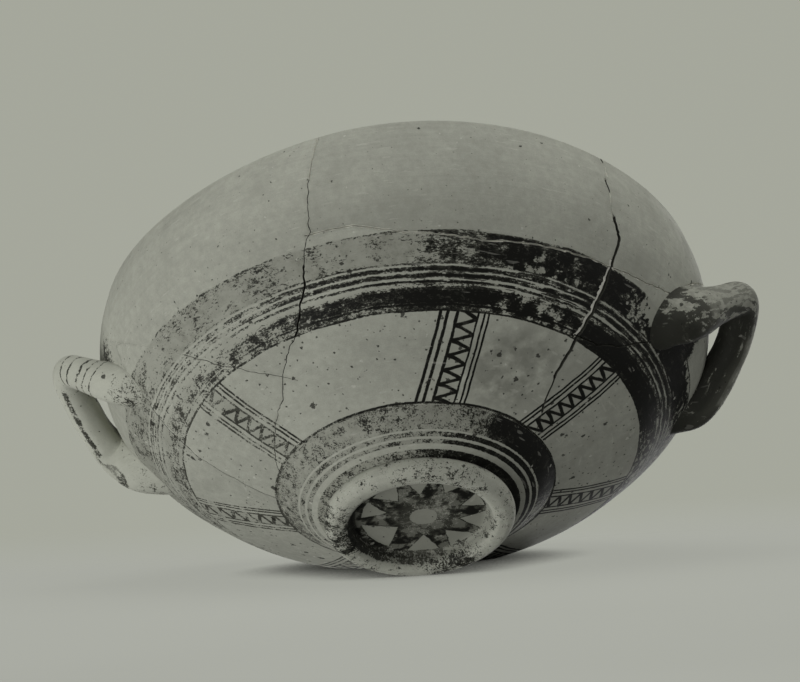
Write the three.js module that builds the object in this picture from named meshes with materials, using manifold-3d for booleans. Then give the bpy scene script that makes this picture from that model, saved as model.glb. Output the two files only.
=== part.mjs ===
import * as THREE from 'three';
import { mergeVertices } from 'three/addons/utils/BufferGeometryUtils.js';
import Module from 'manifold-3d';

// Two-handled bowl of thrown and painted clay, broken and put together again.
// Millimetres, +Z up, standing on its foot. The origin lies on the bowl's axis at the
// resting line of the foot, and the two handles lie along X.

const wasm = await Module();
wasm.setup();

// Driving dimensions of the bowl
const BELLY_RADIUS = 130;
const BELLY_HEIGHT = 89;
const RIM_RADIUS = 127;
const RIM_HEIGHT = 115;
const LIP_RADIUS = 2.5;
const WALL_AT_RIM = 5;
const WALL_AT_FLOOR = 7;

// The foot is a rolled ring under a low flaring stem
const FOOT_RING_RADIUS = 34.6;
const FOOT_RING_ROLL = 5.5;
const FOOT_RING_CENTRE_HEIGHT = 5.3;
const FOOT_RECESS_DEPTH = 6;
const STEM_RADIUS = 58;
const STEM_HEIGHT = 21.8;
const FLOOR_HEIGHT_INSIDE = 16;

// Paint and clay meet at this height, where the steep wall starts
const SHOULDER_HEIGHT = 64;

// The rolled handles rise from the shoulder at a slant
const HANDLE_RISE_ANGLE = THREE.MathUtils.degToRad(40);
const HANDLE_START_RADIUS = 119;
const HANDLE_SUNK_DEPTH = 15;

// Clearances and mesh fineness
const JOINT_GAP = 0.3;
const BREAK_WIDTH = 0.35;
const WALL_SEGMENTS = 80;
const FOOT_SEGMENTS = 64;
const ROD_SIDES = 14;
const ROD_STEPS = 40;

// Outer profile of the wall from the stem to the belly and up to the lip: radius, height
const wallProfile = new THREE.SplineCurve([
  new THREE.Vector2(STEM_RADIUS, STEM_HEIGHT),
  new THREE.Vector2(77, 30.2),
  new THREE.Vector2(96.5, 41),
  new THREE.Vector2(110, 53),
  new THREE.Vector2(120, SHOULDER_HEIGHT),
  new THREE.Vector2(127, 76),
  new THREE.Vector2(BELLY_RADIUS, BELLY_HEIGHT),
  new THREE.Vector2(129.6, 102),
  new THREE.Vector2(RIM_RADIUS, RIM_HEIGHT - LIP_RADIUS),
]);

// The thrown wall is a little uneven: the rim sinks on one side of a break and stands
// higher on the other. Azimuth and half-width in degrees, lift in millimetres.
const RIM_SWELLS = [
  { azimuth: -136, halfWidth: 46, lift: -4 },
  { azimuth: -72, halfWidth: 44, lift: 2.2 },
];

// Lines along which the bowl broke, each as a row of [azimuth in degrees, height on the
// outside]. The heights above the rim and below the stem carry a cut clear of the wall.
const BREAKS = {
  leftRise: [
    [-102, 122], [-105, 88], [-106.2, 69.4], [-107.5, 66], [-110.8, 52.5], [-116, 42.2],
    [-131.9, 30.5], [-147, 26], [-162, 22.6], [-166, 20],
  ],
  shoulderLine: [
    [-106.6, 68.5], [-98, 68.4], [-89, 64.3], [-73, 61.8], [-59.7, 63.4], [-43.3, 64.5],
    [-33.7, 66.5], [-25.4, 70.1], [-19.4, 81.9], [-8, 98], [-2, 122],
  ],
  rightRise: [
    [-47, 122], [-45.6, 109.5], [-47, 99], [-45.9, 84], [-43.7, 75], [-43.6, 63],
    [-43.1, 48.1], [-43.8, 40.5], [-42.4, 32.7], [-38, 26.5], [-31, 22.6], [-28, 20],
  ],
  underHandleLine: [[-43.6, 42.2], [-36.9, 42.8], [-30, 46.5], [-23.6, 53.1], [-20.2, 61.6], [-19.2, 82.5]],
  leftFloorLine: [[-125.2, 33.6], [-131.9, 37.7], [-138.8, 44], [-151, 62], [-164, 84], [-174, 122]],
  lowFloorLine: [[176, 20], [178.4, 22.6], [-176.6, 30], [-170.4, 41.5], [-166, 54], [-160.5, 78.5]],
};

// One point in the middle of each sherd, to tell them apart after the cuts
const SHERDS = [
  { name: 'sherd_back', azimuth: 90, height: 70, color: 0x8d8c80 },
  { name: 'sherd_rim_left', azimuth: -130, height: 90, color: 0x96978b },
  { name: 'sherd_floor_left', azimuth: -150, height: 36, color: 0x8a8b7f },
  { name: 'sherd_floor_middle', azimuth: -75, height: 40, color: 0x8a8b80 },
  { name: 'sherd_rim_middle', azimuth: -75, height: 90, color: 0x82837b },
  { name: 'sherd_rim_right', azimuth: -30, height: 95, color: 0x7d7e75 },
  { name: 'sherd_shoulder', azimuth: -34, height: 56, color: 0x3a3b34 },
];

// The handles were rolled by hand and bent unevenly. Each route lies in the slanted plane
// of its handle, as [distance to one side, distance out from the start radius].
const HANDLES = [
  {
    name: 'handle_left',
    azimuth: 176,
    rootHeight: 67.2,
    route: [[33.5, 0], [22.5, 29], [-4.5, 27.8], [-29.4, 17.8], [-31.2, 0]],
    rodRadius: 7.2,
    frontRoot: { radius: 8.5, length: 16 },
    backRoot: { radius: 8, length: 12 },
    color: 0x95968d,
  },
  {
    name: 'handle_right',
    azimuth: -4,
    rootHeight: 66,
    route: [[35.6, 0], [19.8, 22], [2.8, 30.8], [-11, 32.4], [-21.8, 18.4], [-33.4, 0]],
    rodRadius: 7.8,
    frontRoot: { radius: 13.2, length: 38 },
    backRoot: { radius: 8, length: 12 },
    color: 0x4a4b42,
  },
];

// Turn a closed geometry into a solid whose shared corners are merged
function asSolid(geometry) {
  const bare = geometry.clone();
  for (const attribute of ['normal', 'uv']) bare.deleteAttribute(attribute);
  const merged = mergeVertices(bare, 1e-4);
  const corners = merged.index.array;
  const triangles = [];
  for (let i = 0; i < corners.length; i += 3) {
    const [a, b, c] = [corners[i], corners[i + 1], corners[i + 2]];
    if (a !== b && b !== c && c !== a) triangles.push(a, b, c);
  }
  return new wasm.Manifold(new wasm.Mesh({
    numProp: 3,
    vertProperties: new Float32Array(merged.attributes.position.array),
    triVerts: new Uint32Array(triangles),
  }));
}

function asGeometry(solid) {
  const mesh = solid.getMesh();
  const geometry = new THREE.BufferGeometry();
  geometry.setAttribute('position', new THREE.BufferAttribute(mesh.vertProperties, 3));
  geometry.setIndex(new THREE.BufferAttribute(mesh.triVerts, 1));
  geometry.computeVertexNormals();
  return geometry;
}

function clayMesh(name, solid, color) {
  const material = new THREE.MeshStandardMaterial({ color, roughness: 0.75, metalness: 0 });
  const mesh = new THREE.Mesh(asGeometry(solid), material);
  mesh.name = name;
  return mesh;
}

// Revolve a closed outline of (radius, height) points about Z
function revolve(outline, segments) {
  const closed = [...outline, outline[0]];
  const geometry = new THREE.LatheGeometry(closed, segments);
  geometry.rotateX(Math.PI / 2);
  return geometry;
}

// Points of a circular arc in the profile plane, angles in degrees
function arcPoints(centreRadius, centreHeight, radius, from, to, steps) {
  const points = [];
  for (let i = 0; i <= steps; i += 1) {
    const angle = THREE.MathUtils.degToRad(from + ((to - from) * i) / steps);
    points.push(new THREE.Vector2(
      centreRadius + radius * Math.cos(angle),
      centreHeight + radius * Math.sin(angle),
    ));
  }
  return points;
}

// Outer wall point with its outward normal, t running from the stem to the lip
function wallStation(t) {
  const point = wallProfile.getPoint(t);
  const along = wallProfile.getTangent(t);
  return { point, normal: new THREE.Vector2(along.y, -along.x) };
}

// The outer wall at a height, found by halving; below and above the wall it runs on straight
function wallStationAtHeight(height) {
  let low = 0;
  let high = 1;
  for (let i = 0; i < 40; i += 1) {
    const middle = (low + high) / 2;
    if (wallProfile.getPoint(middle).y < height) low = middle;
    else high = middle;
  }
  const station = wallStation(low);
  const beyond = height - station.point.y;
  if (Math.abs(beyond) > 0.01) {
    station.point.x += (beyond * station.normal.y) / -station.normal.x;
    station.point.y = height;
  }
  return station;
}

function innerWallPoint(t) {
  const { point, normal } = wallStation(t);
  const thickness = THREE.MathUtils.lerp(WALL_AT_FLOOR, WALL_AT_RIM, Math.min(1, 1.6 * t));
  return point.clone().addScaledVector(normal, -thickness);
}

function rimLift(azimuth, height) {
  const share = THREE.MathUtils.smoothstep(height, SHOULDER_HEIGHT, RIM_HEIGHT);
  let lift = 0;
  for (const swell of RIM_SWELLS) {
    const offset = Math.min(1, Math.abs(azimuth - swell.azimuth) / swell.halfWidth);
    lift += (swell.lift * (1 + Math.cos(Math.PI * offset))) / 2;
  }
  return lift * share;
}

// Give the wall its uneven rim
function unevenRim(geometry) {
  const position = geometry.attributes.position;
  for (let i = 0; i < position.count; i += 1) {
    const azimuth = THREE.MathUtils.radToDeg(Math.atan2(position.getY(i), position.getX(i)));
    position.setZ(i, position.getZ(i) + rimLift(azimuth, position.getZ(i)));
  }
  return geometry;
}

// The whole wall as one open-mouthed shell, before it breaks
function wallShell() {
  const outerSteps = 15;
  const innerSteps = 11;
  const outline = [];
  for (let i = 0; i <= outerSteps; i += 1) outline.push(wallStation(i / outerSteps).point);
  const lip = arcPoints(RIM_RADIUS - LIP_RADIUS, RIM_HEIGHT - LIP_RADIUS, LIP_RADIUS, 0, 180, 5);
  outline.push(...lip.slice(1));
  for (let i = innerSteps - 1; i >= 0; i -= 1) outline.push(innerWallPoint(i / innerSteps));
  return asSolid(unevenRim(revolve(outline, WALL_SEGMENTS)));
}

// Everything inside the outer face of the wall, grown by the joint gap
function wallEnvelope() {
  const steps = 15;
  const outline = [new THREE.Vector2(0, STEM_HEIGHT)];
  for (let i = 0; i <= steps; i += 1) {
    const { point, normal } = wallStation(i / steps);
    outline.push(point.clone().addScaledVector(normal, JOINT_GAP));
  }
  outline.push(new THREE.Vector2(0, RIM_HEIGHT));
  return asSolid(unevenRim(revolve(outline, WALL_SEGMENTS)));
}

// The foot: recessed floor, rolled ring with a worn flat under it, stem and inner floor
function footSolid() {
  const worn = THREE.MathUtils.radToDeg(Math.asin(FOOT_RING_CENTRE_HEIGHT / FOOT_RING_ROLL));
  const ringArc = (from, to, steps) => arcPoints(
    FOOT_RING_RADIUS, FOOT_RING_CENTRE_HEIGHT, FOOT_RING_ROLL, from, to, steps,
  );
  const edge = innerWallPoint(0);
  const outline = [
    new THREE.Vector2(0, FOOT_RECESS_DEPTH),
    new THREE.Vector2(26, FOOT_RECESS_DEPTH + 0.6),
    ...ringArc(178, 180 + worn, 4),
    ...ringArc(360 - worn, 402, 6),
    new THREE.Vector2(43.6, 11),
    new THREE.Vector2(50.1, 14.8),
    new THREE.Vector2(STEM_RADIUS - JOINT_GAP, STEM_HEIGHT - 0.2),
    new THREE.Vector2(edge.x - JOINT_GAP, edge.y - 0.2),
  ];
  const rise = (edge.y - 0.2 - FLOOR_HEIGHT_INSIDE) / (edge.x - JOINT_GAP) ** 2;
  for (const radius of [42, 28, 14, 0]) {
    outline.push(new THREE.Vector2(radius, FLOOR_HEIGHT_INSIDE + rise * radius ** 2));
  }
  return asSolid(revolve(outline, FOOT_SEGMENTS));
}

// Join rings of points into one closed skin, with a flat fan at each end. Opposite sides
// fold along the same diagonal, so that a thin twisted ribbon keeps its thickness.
function closedSkin(rings) {
  const sides = rings[0].length;
  const vertices = rings.flat();
  const indices = [];
  for (let ring = 0; ring < rings.length - 1; ring += 1) {
    for (let side = 0; side < sides; side += 1) {
      const a = ring * sides + side;
      const b = ring * sides + ((side + 1) % sides);
      if (2 * side < sides) indices.push(a, b, b + sides, a, b + sides, a + sides);
      else indices.push(a, b, a + sides, b, b + sides, a + sides);
    }
  }
  const last = (rings.length - 1) * sides;
  for (let side = 1; side < sides - 1; side += 1) {
    indices.push(0, side + 1, side, last, last + side, last + side + 1);
  }
  const geometry = new THREE.BufferGeometry().setFromPoints(vertices);
  geometry.setIndex(indices);
  return geometry;
}

// A thin upright ribbon through the wall along one line of breakage
function breakKnife(line) {
  const outward = 6;
  const inward = 13;
  const spots = line.map(([azimuth, height]) => {
    const { point, normal } = wallStationAtHeight(height);
    const angle = THREE.MathUtils.degToRad(azimuth);
    const radial = new THREE.Vector3(Math.cos(angle), Math.sin(angle), 0);
    const centre = radial.clone().multiplyScalar(point.x);
    centre.z = point.y + rimLift(azimuth, point.y);
    const face = radial.multiplyScalar(normal.x);
    face.z = normal.y;
    return { centre, face };
  });
  const rings = spots.map(({ centre, face }, i) => {
    const before = spots[Math.max(0, i - 1)].centre;
    const after = spots[Math.min(spots.length - 1, i + 1)].centre;
    const side = face.clone().cross(after.clone().sub(before)).normalize();
    const corner = (depth, sign) => centre.clone()
      .addScaledVector(face, depth)
      .addScaledVector(side, (sign * BREAK_WIDTH) / 2);
    return [corner(outward, -1), corner(-inward, -1), corner(-inward, 1), corner(outward, 1)];
  });
  return asSolid(closedSkin(rings));
}

// Cut the shell along every break and name the sherds
function sherdMeshes() {
  let shell = wallShell();
  for (const line of Object.values(BREAKS)) shell = shell.subtract(breakKnife(line));
  const pieces = shell.decompose();
  const probe = new THREE.BoxGeometry(2, 2, 2);
  return SHERDS.map(({ name, azimuth, height, color }) => {
    const { point, normal } = wallStationAtHeight(height);
    point.addScaledVector(normal, -WALL_AT_RIM / 2);
    const angle = THREE.MathUtils.degToRad(azimuth);
    const marker = probe.clone();
    marker.translate(point.x * Math.cos(angle), point.x * Math.sin(angle), point.y);
    const solid = pieces.find((piece) => piece.intersect(asSolid(marker)).volume() > 1);
    return clayMesh(name, solid, color);
  });
}

// Centre line of a handle, with both ends carried on level into the wall
function handleCentreLine({ azimuth, rootHeight, route }) {
  const angle = THREE.MathUtils.degToRad(azimuth);
  const radial = new THREE.Vector3(Math.cos(angle), Math.sin(angle), 0);
  const across = new THREE.Vector3(-Math.sin(angle), Math.cos(angle), 0);
  const points = route.map(([sideways, out]) => {
    const point = radial.clone();
    point.multiplyScalar(HANDLE_START_RADIUS + out * Math.cos(HANDLE_RISE_ANGLE));
    point.addScaledVector(across, sideways);
    point.z = rootHeight + out * Math.sin(HANDLE_RISE_ANGLE);
    return point;
  });
  const sunk = (root) => root.clone().addScaledVector(radial, -HANDLE_SUNK_DEPTH);
  const whole = [sunk(points[0]), ...points, sunk(points.at(-1))];
  return new THREE.CatmullRomCurve3(whole, false, 'centripetal');
}

// A round rod along the line, thicker where it grows out of the wall
function handleSolid(handle) {
  const line = handleCentreLine(handle);
  const length = line.getLength();
  const frames = line.computeFrenetFrames(ROD_STEPS, false);
  const rings = [];
  for (let i = 0; i <= ROD_STEPS; i += 1) {
    const centre = line.getPointAt(i / ROD_STEPS);
    const root = centre.y < 0 ? handle.frontRoot : handle.backRoot;
    const fromEnd = length * Math.min(i / ROD_STEPS, 1 - i / ROD_STEPS);
    const slimming = THREE.MathUtils.smoothstep(fromEnd - HANDLE_SUNK_DEPTH, 0, root.length);
    const radius = THREE.MathUtils.lerp(root.radius, handle.rodRadius, slimming);
    const ring = [];
    for (let side = 0; side < ROD_SIDES; side += 1) {
      const angle = (2 * Math.PI * side) / ROD_SIDES;
      ring.push(centre.clone()
        .addScaledVector(frames.normals[i], radius * Math.cos(angle))
        .addScaledVector(frames.binormals[i], radius * Math.sin(angle)));
    }
    rings.push(ring);
  }
  return asSolid(closedSkin(rings)).subtract(wallEnvelope());
}

const bowl = new THREE.Group();
bowl.add(clayMesh('foot', footSolid(), 0x85867b));
bowl.add(...sherdMeshes());
for (const handle of HANDLES) bowl.add(clayMesh(handle.name, handleSolid(handle), handle.color));

export default bowl;
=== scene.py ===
"""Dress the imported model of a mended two-handled bowl in painted, worn clay.

Every size is in metres unless its name or comment says millimetres. The bowl stands on its
foot at z = 0 with its handles along X, and the camera looks up at its painted underside.
"""
import logging
import math
from collections.abc import Callable
from dataclasses import dataclass, field
from enum import Enum
from functools import reduce

import bmesh
import bpy
import numpy as np
from mathutils import Matrix, Vector, noise


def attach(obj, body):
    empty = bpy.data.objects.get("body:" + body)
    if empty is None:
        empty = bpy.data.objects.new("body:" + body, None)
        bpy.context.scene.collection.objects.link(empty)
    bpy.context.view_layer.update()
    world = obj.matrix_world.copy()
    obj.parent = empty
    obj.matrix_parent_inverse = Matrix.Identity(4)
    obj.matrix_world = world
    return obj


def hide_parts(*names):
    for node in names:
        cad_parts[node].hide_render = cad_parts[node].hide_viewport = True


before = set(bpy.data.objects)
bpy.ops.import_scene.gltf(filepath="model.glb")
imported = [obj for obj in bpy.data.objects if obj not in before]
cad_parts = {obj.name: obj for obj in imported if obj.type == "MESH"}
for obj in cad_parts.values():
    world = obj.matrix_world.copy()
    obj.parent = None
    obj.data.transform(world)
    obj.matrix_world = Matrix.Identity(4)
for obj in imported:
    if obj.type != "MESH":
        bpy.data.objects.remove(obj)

MM = 0.001
BODY = "root"
AXIS = 0.001  # radius in millimetres of the tiny hole at the pole of a turned solid
log = logging.getLogger("bowl")


class Tree:
    """A shader or geometry node tree that grows by one method."""

    def __init__(self, tree: bpy.types.NodeTree) -> None:
        """Start from an empty tree."""
        self.tree = tree
        tree.nodes.clear()

    def add(self, kind: str, settings: dict | None = None, inputs: dict | None = None) -> bpy.types.Node:
        """Add one node.

        Args:
            kind: Blender's name of the node type.
            settings: Properties of the node, set before its sockets.
            inputs: A value, a socket or a Number for each input, by name or place.

        Returns:
            The new node.
        """
        node = self.tree.nodes.new(kind)
        for name, value in (settings or {}).items():
            setattr(node, name, value)
        for place, value in (inputs or {}).items():
            self.feed(node.inputs[place], value)
        return node

    def feed(self, target: bpy.types.NodeSocket, value: object) -> None:
        """Link a socket or a Number into an input, or set the input to a plain value.

        Args:
            target: The input.
            value: What goes in. Of a colour, a vector input takes the first three numbers.
        """
        if isinstance(value, Number):
            value = value.socket
        if isinstance(value, bpy.types.NodeSocket):
            self.tree.links.new(value, target)
        elif isinstance(value, tuple) and target.type == "VECTOR":
            target.default_value = value[:3]
        else:
            target.default_value = value

    def number(self, socket: bpy.types.NodeSocket) -> "Number":
        """Wrap a value socket so that it takes part in arithmetic."""
        return Number(self, socket)

    def math(self, operation: str, *values: object) -> "Number":
        """Add a Math node and return its result."""
        node = self.add("ShaderNodeMath", {"operation": operation}, dict(enumerate(values)))
        return Number(self, node.outputs[0])

    def vector(self, operation: str, *values: object) -> bpy.types.NodeSocket:
        """Add a Vector Math node and return its vector, or its value where it gives one."""
        node = self.add("ShaderNodeVectorMath", {"operation": operation}, dict(enumerate(values)))
        return node.outputs["Value" if operation in ("DOT_PRODUCT", "DISTANCE") else "Vector"]

    def scaled(self, colour: object, amount: object) -> bpy.types.NodeSocket:
        """Make a colour lighter or darker, or a vector longer or shorter."""
        node = self.add("ShaderNodeVectorMath", {"operation": "SCALE"}, {0: colour, "Scale": amount})
        return node.outputs[0]


def sign(operation: str, swapped: bool = False) -> Callable[["Number", object], "Number"]:
    """Make the method that stands for one Math operation.

    Args:
        operation: The Math node's operation.
        swapped: Whether the other value comes first.

    Returns:
        A method for Number that takes the other value.
    """
    def work(self: "Number", other: object) -> "Number":
        """Add the Math node and return its result."""
        return self.tree.math(operation, *((other, self) if swapped else (self, other)))

    return work


class Number:
    """A value socket that the arithmetic signs work on, each adding one Math node."""

    __add__ = __radd__ = sign("ADD")
    __mul__ = __rmul__ = sign("MULTIPLY")
    __sub__ = sign("SUBTRACT")
    __rsub__ = sign("SUBTRACT", swapped=True)
    __truediv__ = sign("DIVIDE")
    __rtruediv__ = sign("DIVIDE", swapped=True)
    below = sign("LESS_THAN")
    least = sign("MINIMUM")
    most = sign("MAXIMUM")

    def __init__(self, tree: Tree, socket: bpy.types.NodeSocket) -> None:
        """Keep the tree, for the nodes that follow, and the socket."""
        self.tree = tree
        self.socket = socket

    def __abs__(self) -> "Number":
        """Return the distance from zero."""
        return self.tree.math("ABSOLUTE", self)

    def rise(self, low: float, high: float, bottom: float = 0.0, top: float = 1.0) -> "Number":
        """Climb evenly between two values, and stay level beyond them.

        Args:
            low: Where the climb starts.
            high: Where it ends.
            bottom: The result up to low.
            top: The result from high on.

        Returns:
            The result.
        """
        ends = {"From Min": low, "From Max": high, "To Min": bottom, "To Max": top}
        node = self.tree.add("ShaderNodeMapRange", None, {"Value": self, **ends})
        return Number(self.tree, node.outputs["Result"])

    def between(self, low: float, high: float, soft: float) -> "Number":
        """Return 1 from low to high and 0 outside, with edges as wide as soft."""
        inside = self.rise(low - soft / 2, low + soft / 2)
        return inside * self.rise(high - soft / 2, high + soft / 2, 1.0, 0.0)

    def mix(self, other: object, share: object) -> "Number":
        """Go from self to other as share goes from 0 to 1."""
        node = self.tree.add("ShaderNodeMix", {"data_type": "FLOAT"}, {0: share, 2: self, 3: other})
        return Number(self.tree, node.outputs[0])


class Finish(Tree):
    """The node tree of a new material."""

    def __init__(self, name: str) -> None:
        """Start a material with an empty tree.

        Args:
            name: The material's name.
        """
        self.material = bpy.data.materials.new(name)
        self.material.use_nodes = True
        super().__init__(self.material.node_tree)

    def matt(self, colour: object, more: dict | None = None) -> bpy.types.Node:
        """Add a surface of one colour without any shine, and with more settings."""
        flat = {"Base Color": colour, "Roughness": 1.0, "Specular IOR Level": 0.0}
        return self.add("ShaderNodeBsdfPrincipled", None, flat | (more or {}))

    def done(self, shader: bpy.types.Node) -> bpy.types.Material:
        """Send a shader to the output and return the material."""
        self.add("ShaderNodeOutputMaterial", None, {0: shader.outputs[0]})
        return self.material


class Recipe(Tree):
    """A geometry node tree with named inputs, which runs once."""

    def __init__(self, name: str, inputs: dict[str, str]) -> None:
        """Start a tree.

        Args:
            name: The tree's name.
            inputs: The kind of each input socket by its name, the geometry first.
        """
        group = bpy.data.node_groups.new(name, "GeometryNodeTree")
        self.sockets = {
            title: group.interface.new_socket(title, in_out="INPUT", socket_type=f"NodeSocket{kind}")
            for title, kind in inputs.items()
        }
        group.interface.new_socket("Mesh", in_out="OUTPUT", socket_type="NodeSocketGeometry")
        super().__init__(group)
        self.given = self.add("NodeGroupInput").outputs

    def run(self, source: bpy.types.Object, last: bpy.types.Node, values: dict[str, int],
            name: str) -> bpy.types.Object:
        """End the tree, run it on an object and keep the result as a plain mesh.

        Args:
            source: The object with the geometry that goes in. It is used up.
            last: The node that gives the shape.
            values: A value for each of the other inputs by its name.
            name: The result's name.

        Returns:
            The plain mesh object.
        """
        real = self.add("GeometryNodeRealizeInstances", None, {"Geometry": last.outputs[0]})
        dressed = self.add("GeometryNodeSetMaterial", None, {
            "Geometry": real.outputs[0], "Material": marker(MARKS[0]),
        })
        self.add("NodeGroupOutput", None, {0: dressed.outputs[0]})
        modifier = source.modifiers.new(self.tree.name, "NODES")
        modifier.node_group = self.tree
        for title, value in values.items():
            modifier[self.sockets[title].identifier] = value
        return applied(source, name)


def hermite(start: np.ndarray | Vector, end: np.ndarray | Vector, slope_in: np.ndarray | Vector,
            slope_out: np.ndarray | Vector, share: float) -> np.ndarray | Vector:
    """Evaluate one cubic stretch of a curve.

    Args:
        start: The point where it starts.
        end: The point where it ends.
        slope_in: Its direction and speed at the start.
        slope_out: Its direction and speed at the end.
        share: How far along the point is, from 0 to 1.

    Returns:
        The point.
    """
    return (
        (2 * start - 2 * end + slope_in + slope_out) * share**3
        + (3 * end - 3 * start - 2 * slope_in - slope_out) * share**2
        + slope_in * share + start
    )


def catmull_rom(points: np.ndarray, t: float) -> np.ndarray:
    """Evaluate a uniform Catmull-Rom spline.

    Args:
        points: The points that it goes through.
        t: How far along, 0 at the first point and 1 at the last.

    Returns:
        The point.
    """
    last = len(points) - 1
    whole = min(int(last * t), last - 1)
    before, start = points[max(whole - 1, 0)], points[whole]
    end, after = points[whole + 1], points[min(whole + 2, last)]
    return hermite(start, end, (end - before) / 2, (after - start) / 2, last * t - whole)


def eased(share: float) -> float:
    """Return a share held to 0 to 1, with a gentle start and end."""
    share = min(max(share, 0.0), 1.0)
    return share * share * (3 - 2 * share)


def link(name: str, data: bpy.types.ID) -> bpy.types.Object:
    """Put a new object with its data into the scene.

    Args:
        name: The object's name.
        data: Its mesh, lamp or camera.

    Returns:
        The object.
    """
    made = bpy.data.objects.new(name, data)
    bpy.context.scene.collection.objects.link(made)
    return made


def mesh_object(name: str, points: list, edges: tuple | list = (),
                faces: tuple | list = ()) -> bpy.types.Object:
    """Put a new mesh into the scene.

    Args:
        name: The object's and the mesh's name.
        points: The vertices.
        edges: Pairs of vertex numbers.
        faces: Vertex numbers of each face.

    Returns:
        The object.
    """
    mesh = bpy.data.meshes.new(name)
    mesh.from_pydata(points, edges, faces)
    return link(name, mesh)


def applied(source: bpy.types.Object, name: str) -> bpy.types.Object:
    """Turn an object with modifiers into a plain mesh object.

    Args:
        source: The object. It is deleted.
        name: The new object's name.

    Returns:
        The plain mesh object.
    """
    bpy.context.view_layer.update()
    depsgraph = bpy.context.evaluated_depsgraph_get()
    mesh = bpy.data.meshes.new_from_object(source.evaluated_get(depsgraph))
    bpy.data.objects.remove(source, do_unlink=True)
    mesh.name = name
    return link(name, mesh)


def subtract(piece: bpy.types.Object, blade: bpy.types.Object) -> None:
    """Cut a closed body out of a piece with a modifier, and keep both bodies' materials.

    Args:
        piece: The piece that is cut.
        blade: The body that goes.
    """
    cut = piece.modifiers.new(blade.name, "BOOLEAN")
    cut.operation = "DIFFERENCE"
    cut.solver = "MANIFOLD"
    cut.material_mode = "TRANSFER"
    cut.object = blade


def read_points(piece: bpy.types.Object) -> np.ndarray:
    """Return a mesh object's vertices.

    Args:
        piece: The object.

    Returns:
        A row for each vertex.
    """
    flat = np.empty(len(piece.data.vertices) * 3)
    piece.data.vertices.foreach_get("co", flat)
    return flat.reshape(-1, 3)


def write_points(piece: bpy.types.Object, positions: np.ndarray) -> None:
    """Put vertices back after read_points."""
    piece.data.vertices.foreach_set("co", positions.ravel())
    piece.data.update()


def outward(piece: bpy.types.Object) -> None:
    """Merge doubles and turn every face outwards.

    Args:
        piece: The object, whose mesh changes.
    """
    shape = bmesh.new()
    shape.from_mesh(piece.data)
    bmesh.ops.remove_doubles(shape, verts=shape.verts, dist=1e-6)
    bmesh.ops.dissolve_degenerate(shape, edges=shape.edges, dist=1e-7)
    bmesh.ops.recalc_face_normals(shape, faces=shape.faces)
    shape.to_mesh(piece.data)
    shape.free()


def set_attribute(piece: bpy.types.Object, name: str, values: np.ndarray, domain: str = "POINT") -> None:
    """Store one number for each vertex, or for each face in the domain FACE."""
    attribute = piece.data.attributes.new(name, "FLOAT", domain)
    attribute.data.foreach_set("value", values.astype(np.float32))


def nearest(points: np.ndarray, targets: np.ndarray, block: int = 2000) -> np.ndarray:
    """Measure each point's distance to the nearest target.

    Args:
        points: A row for each point.
        targets: A row for each target.
        block: How many points are measured at once.

    Returns:
        The distances.
    """
    result = np.empty(len(points))
    for start in range(0, len(points), block):
        gaps = points[start:start + block, None] - targets[None]
        result[start:start + block] = np.linalg.norm(gaps, axis=2).min(axis=1)
    return result


def smooth(piece: bpy.types.Object, angle: float) -> None:
    """Shade a piece smooth but for edges sharper than an angle in degrees."""
    piece.data.shade_smooth()
    piece.data.set_sharp_from_angle(angle=math.radians(angle))


MARKS = ("skin", "dirty", "fresh")


def marker(name: str) -> bpy.types.Material:
    """Return the plain material that marks faces while the wall is cut."""
    return bpy.data.materials.get(name) or bpy.data.materials.new(name)


@dataclass(frozen=True)
class RimSwell:
    """A place where the rim sinks or stands up: azimuth and half width in degrees, lift in mm."""

    azimuth: float
    half_width: float
    lift: float


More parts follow.
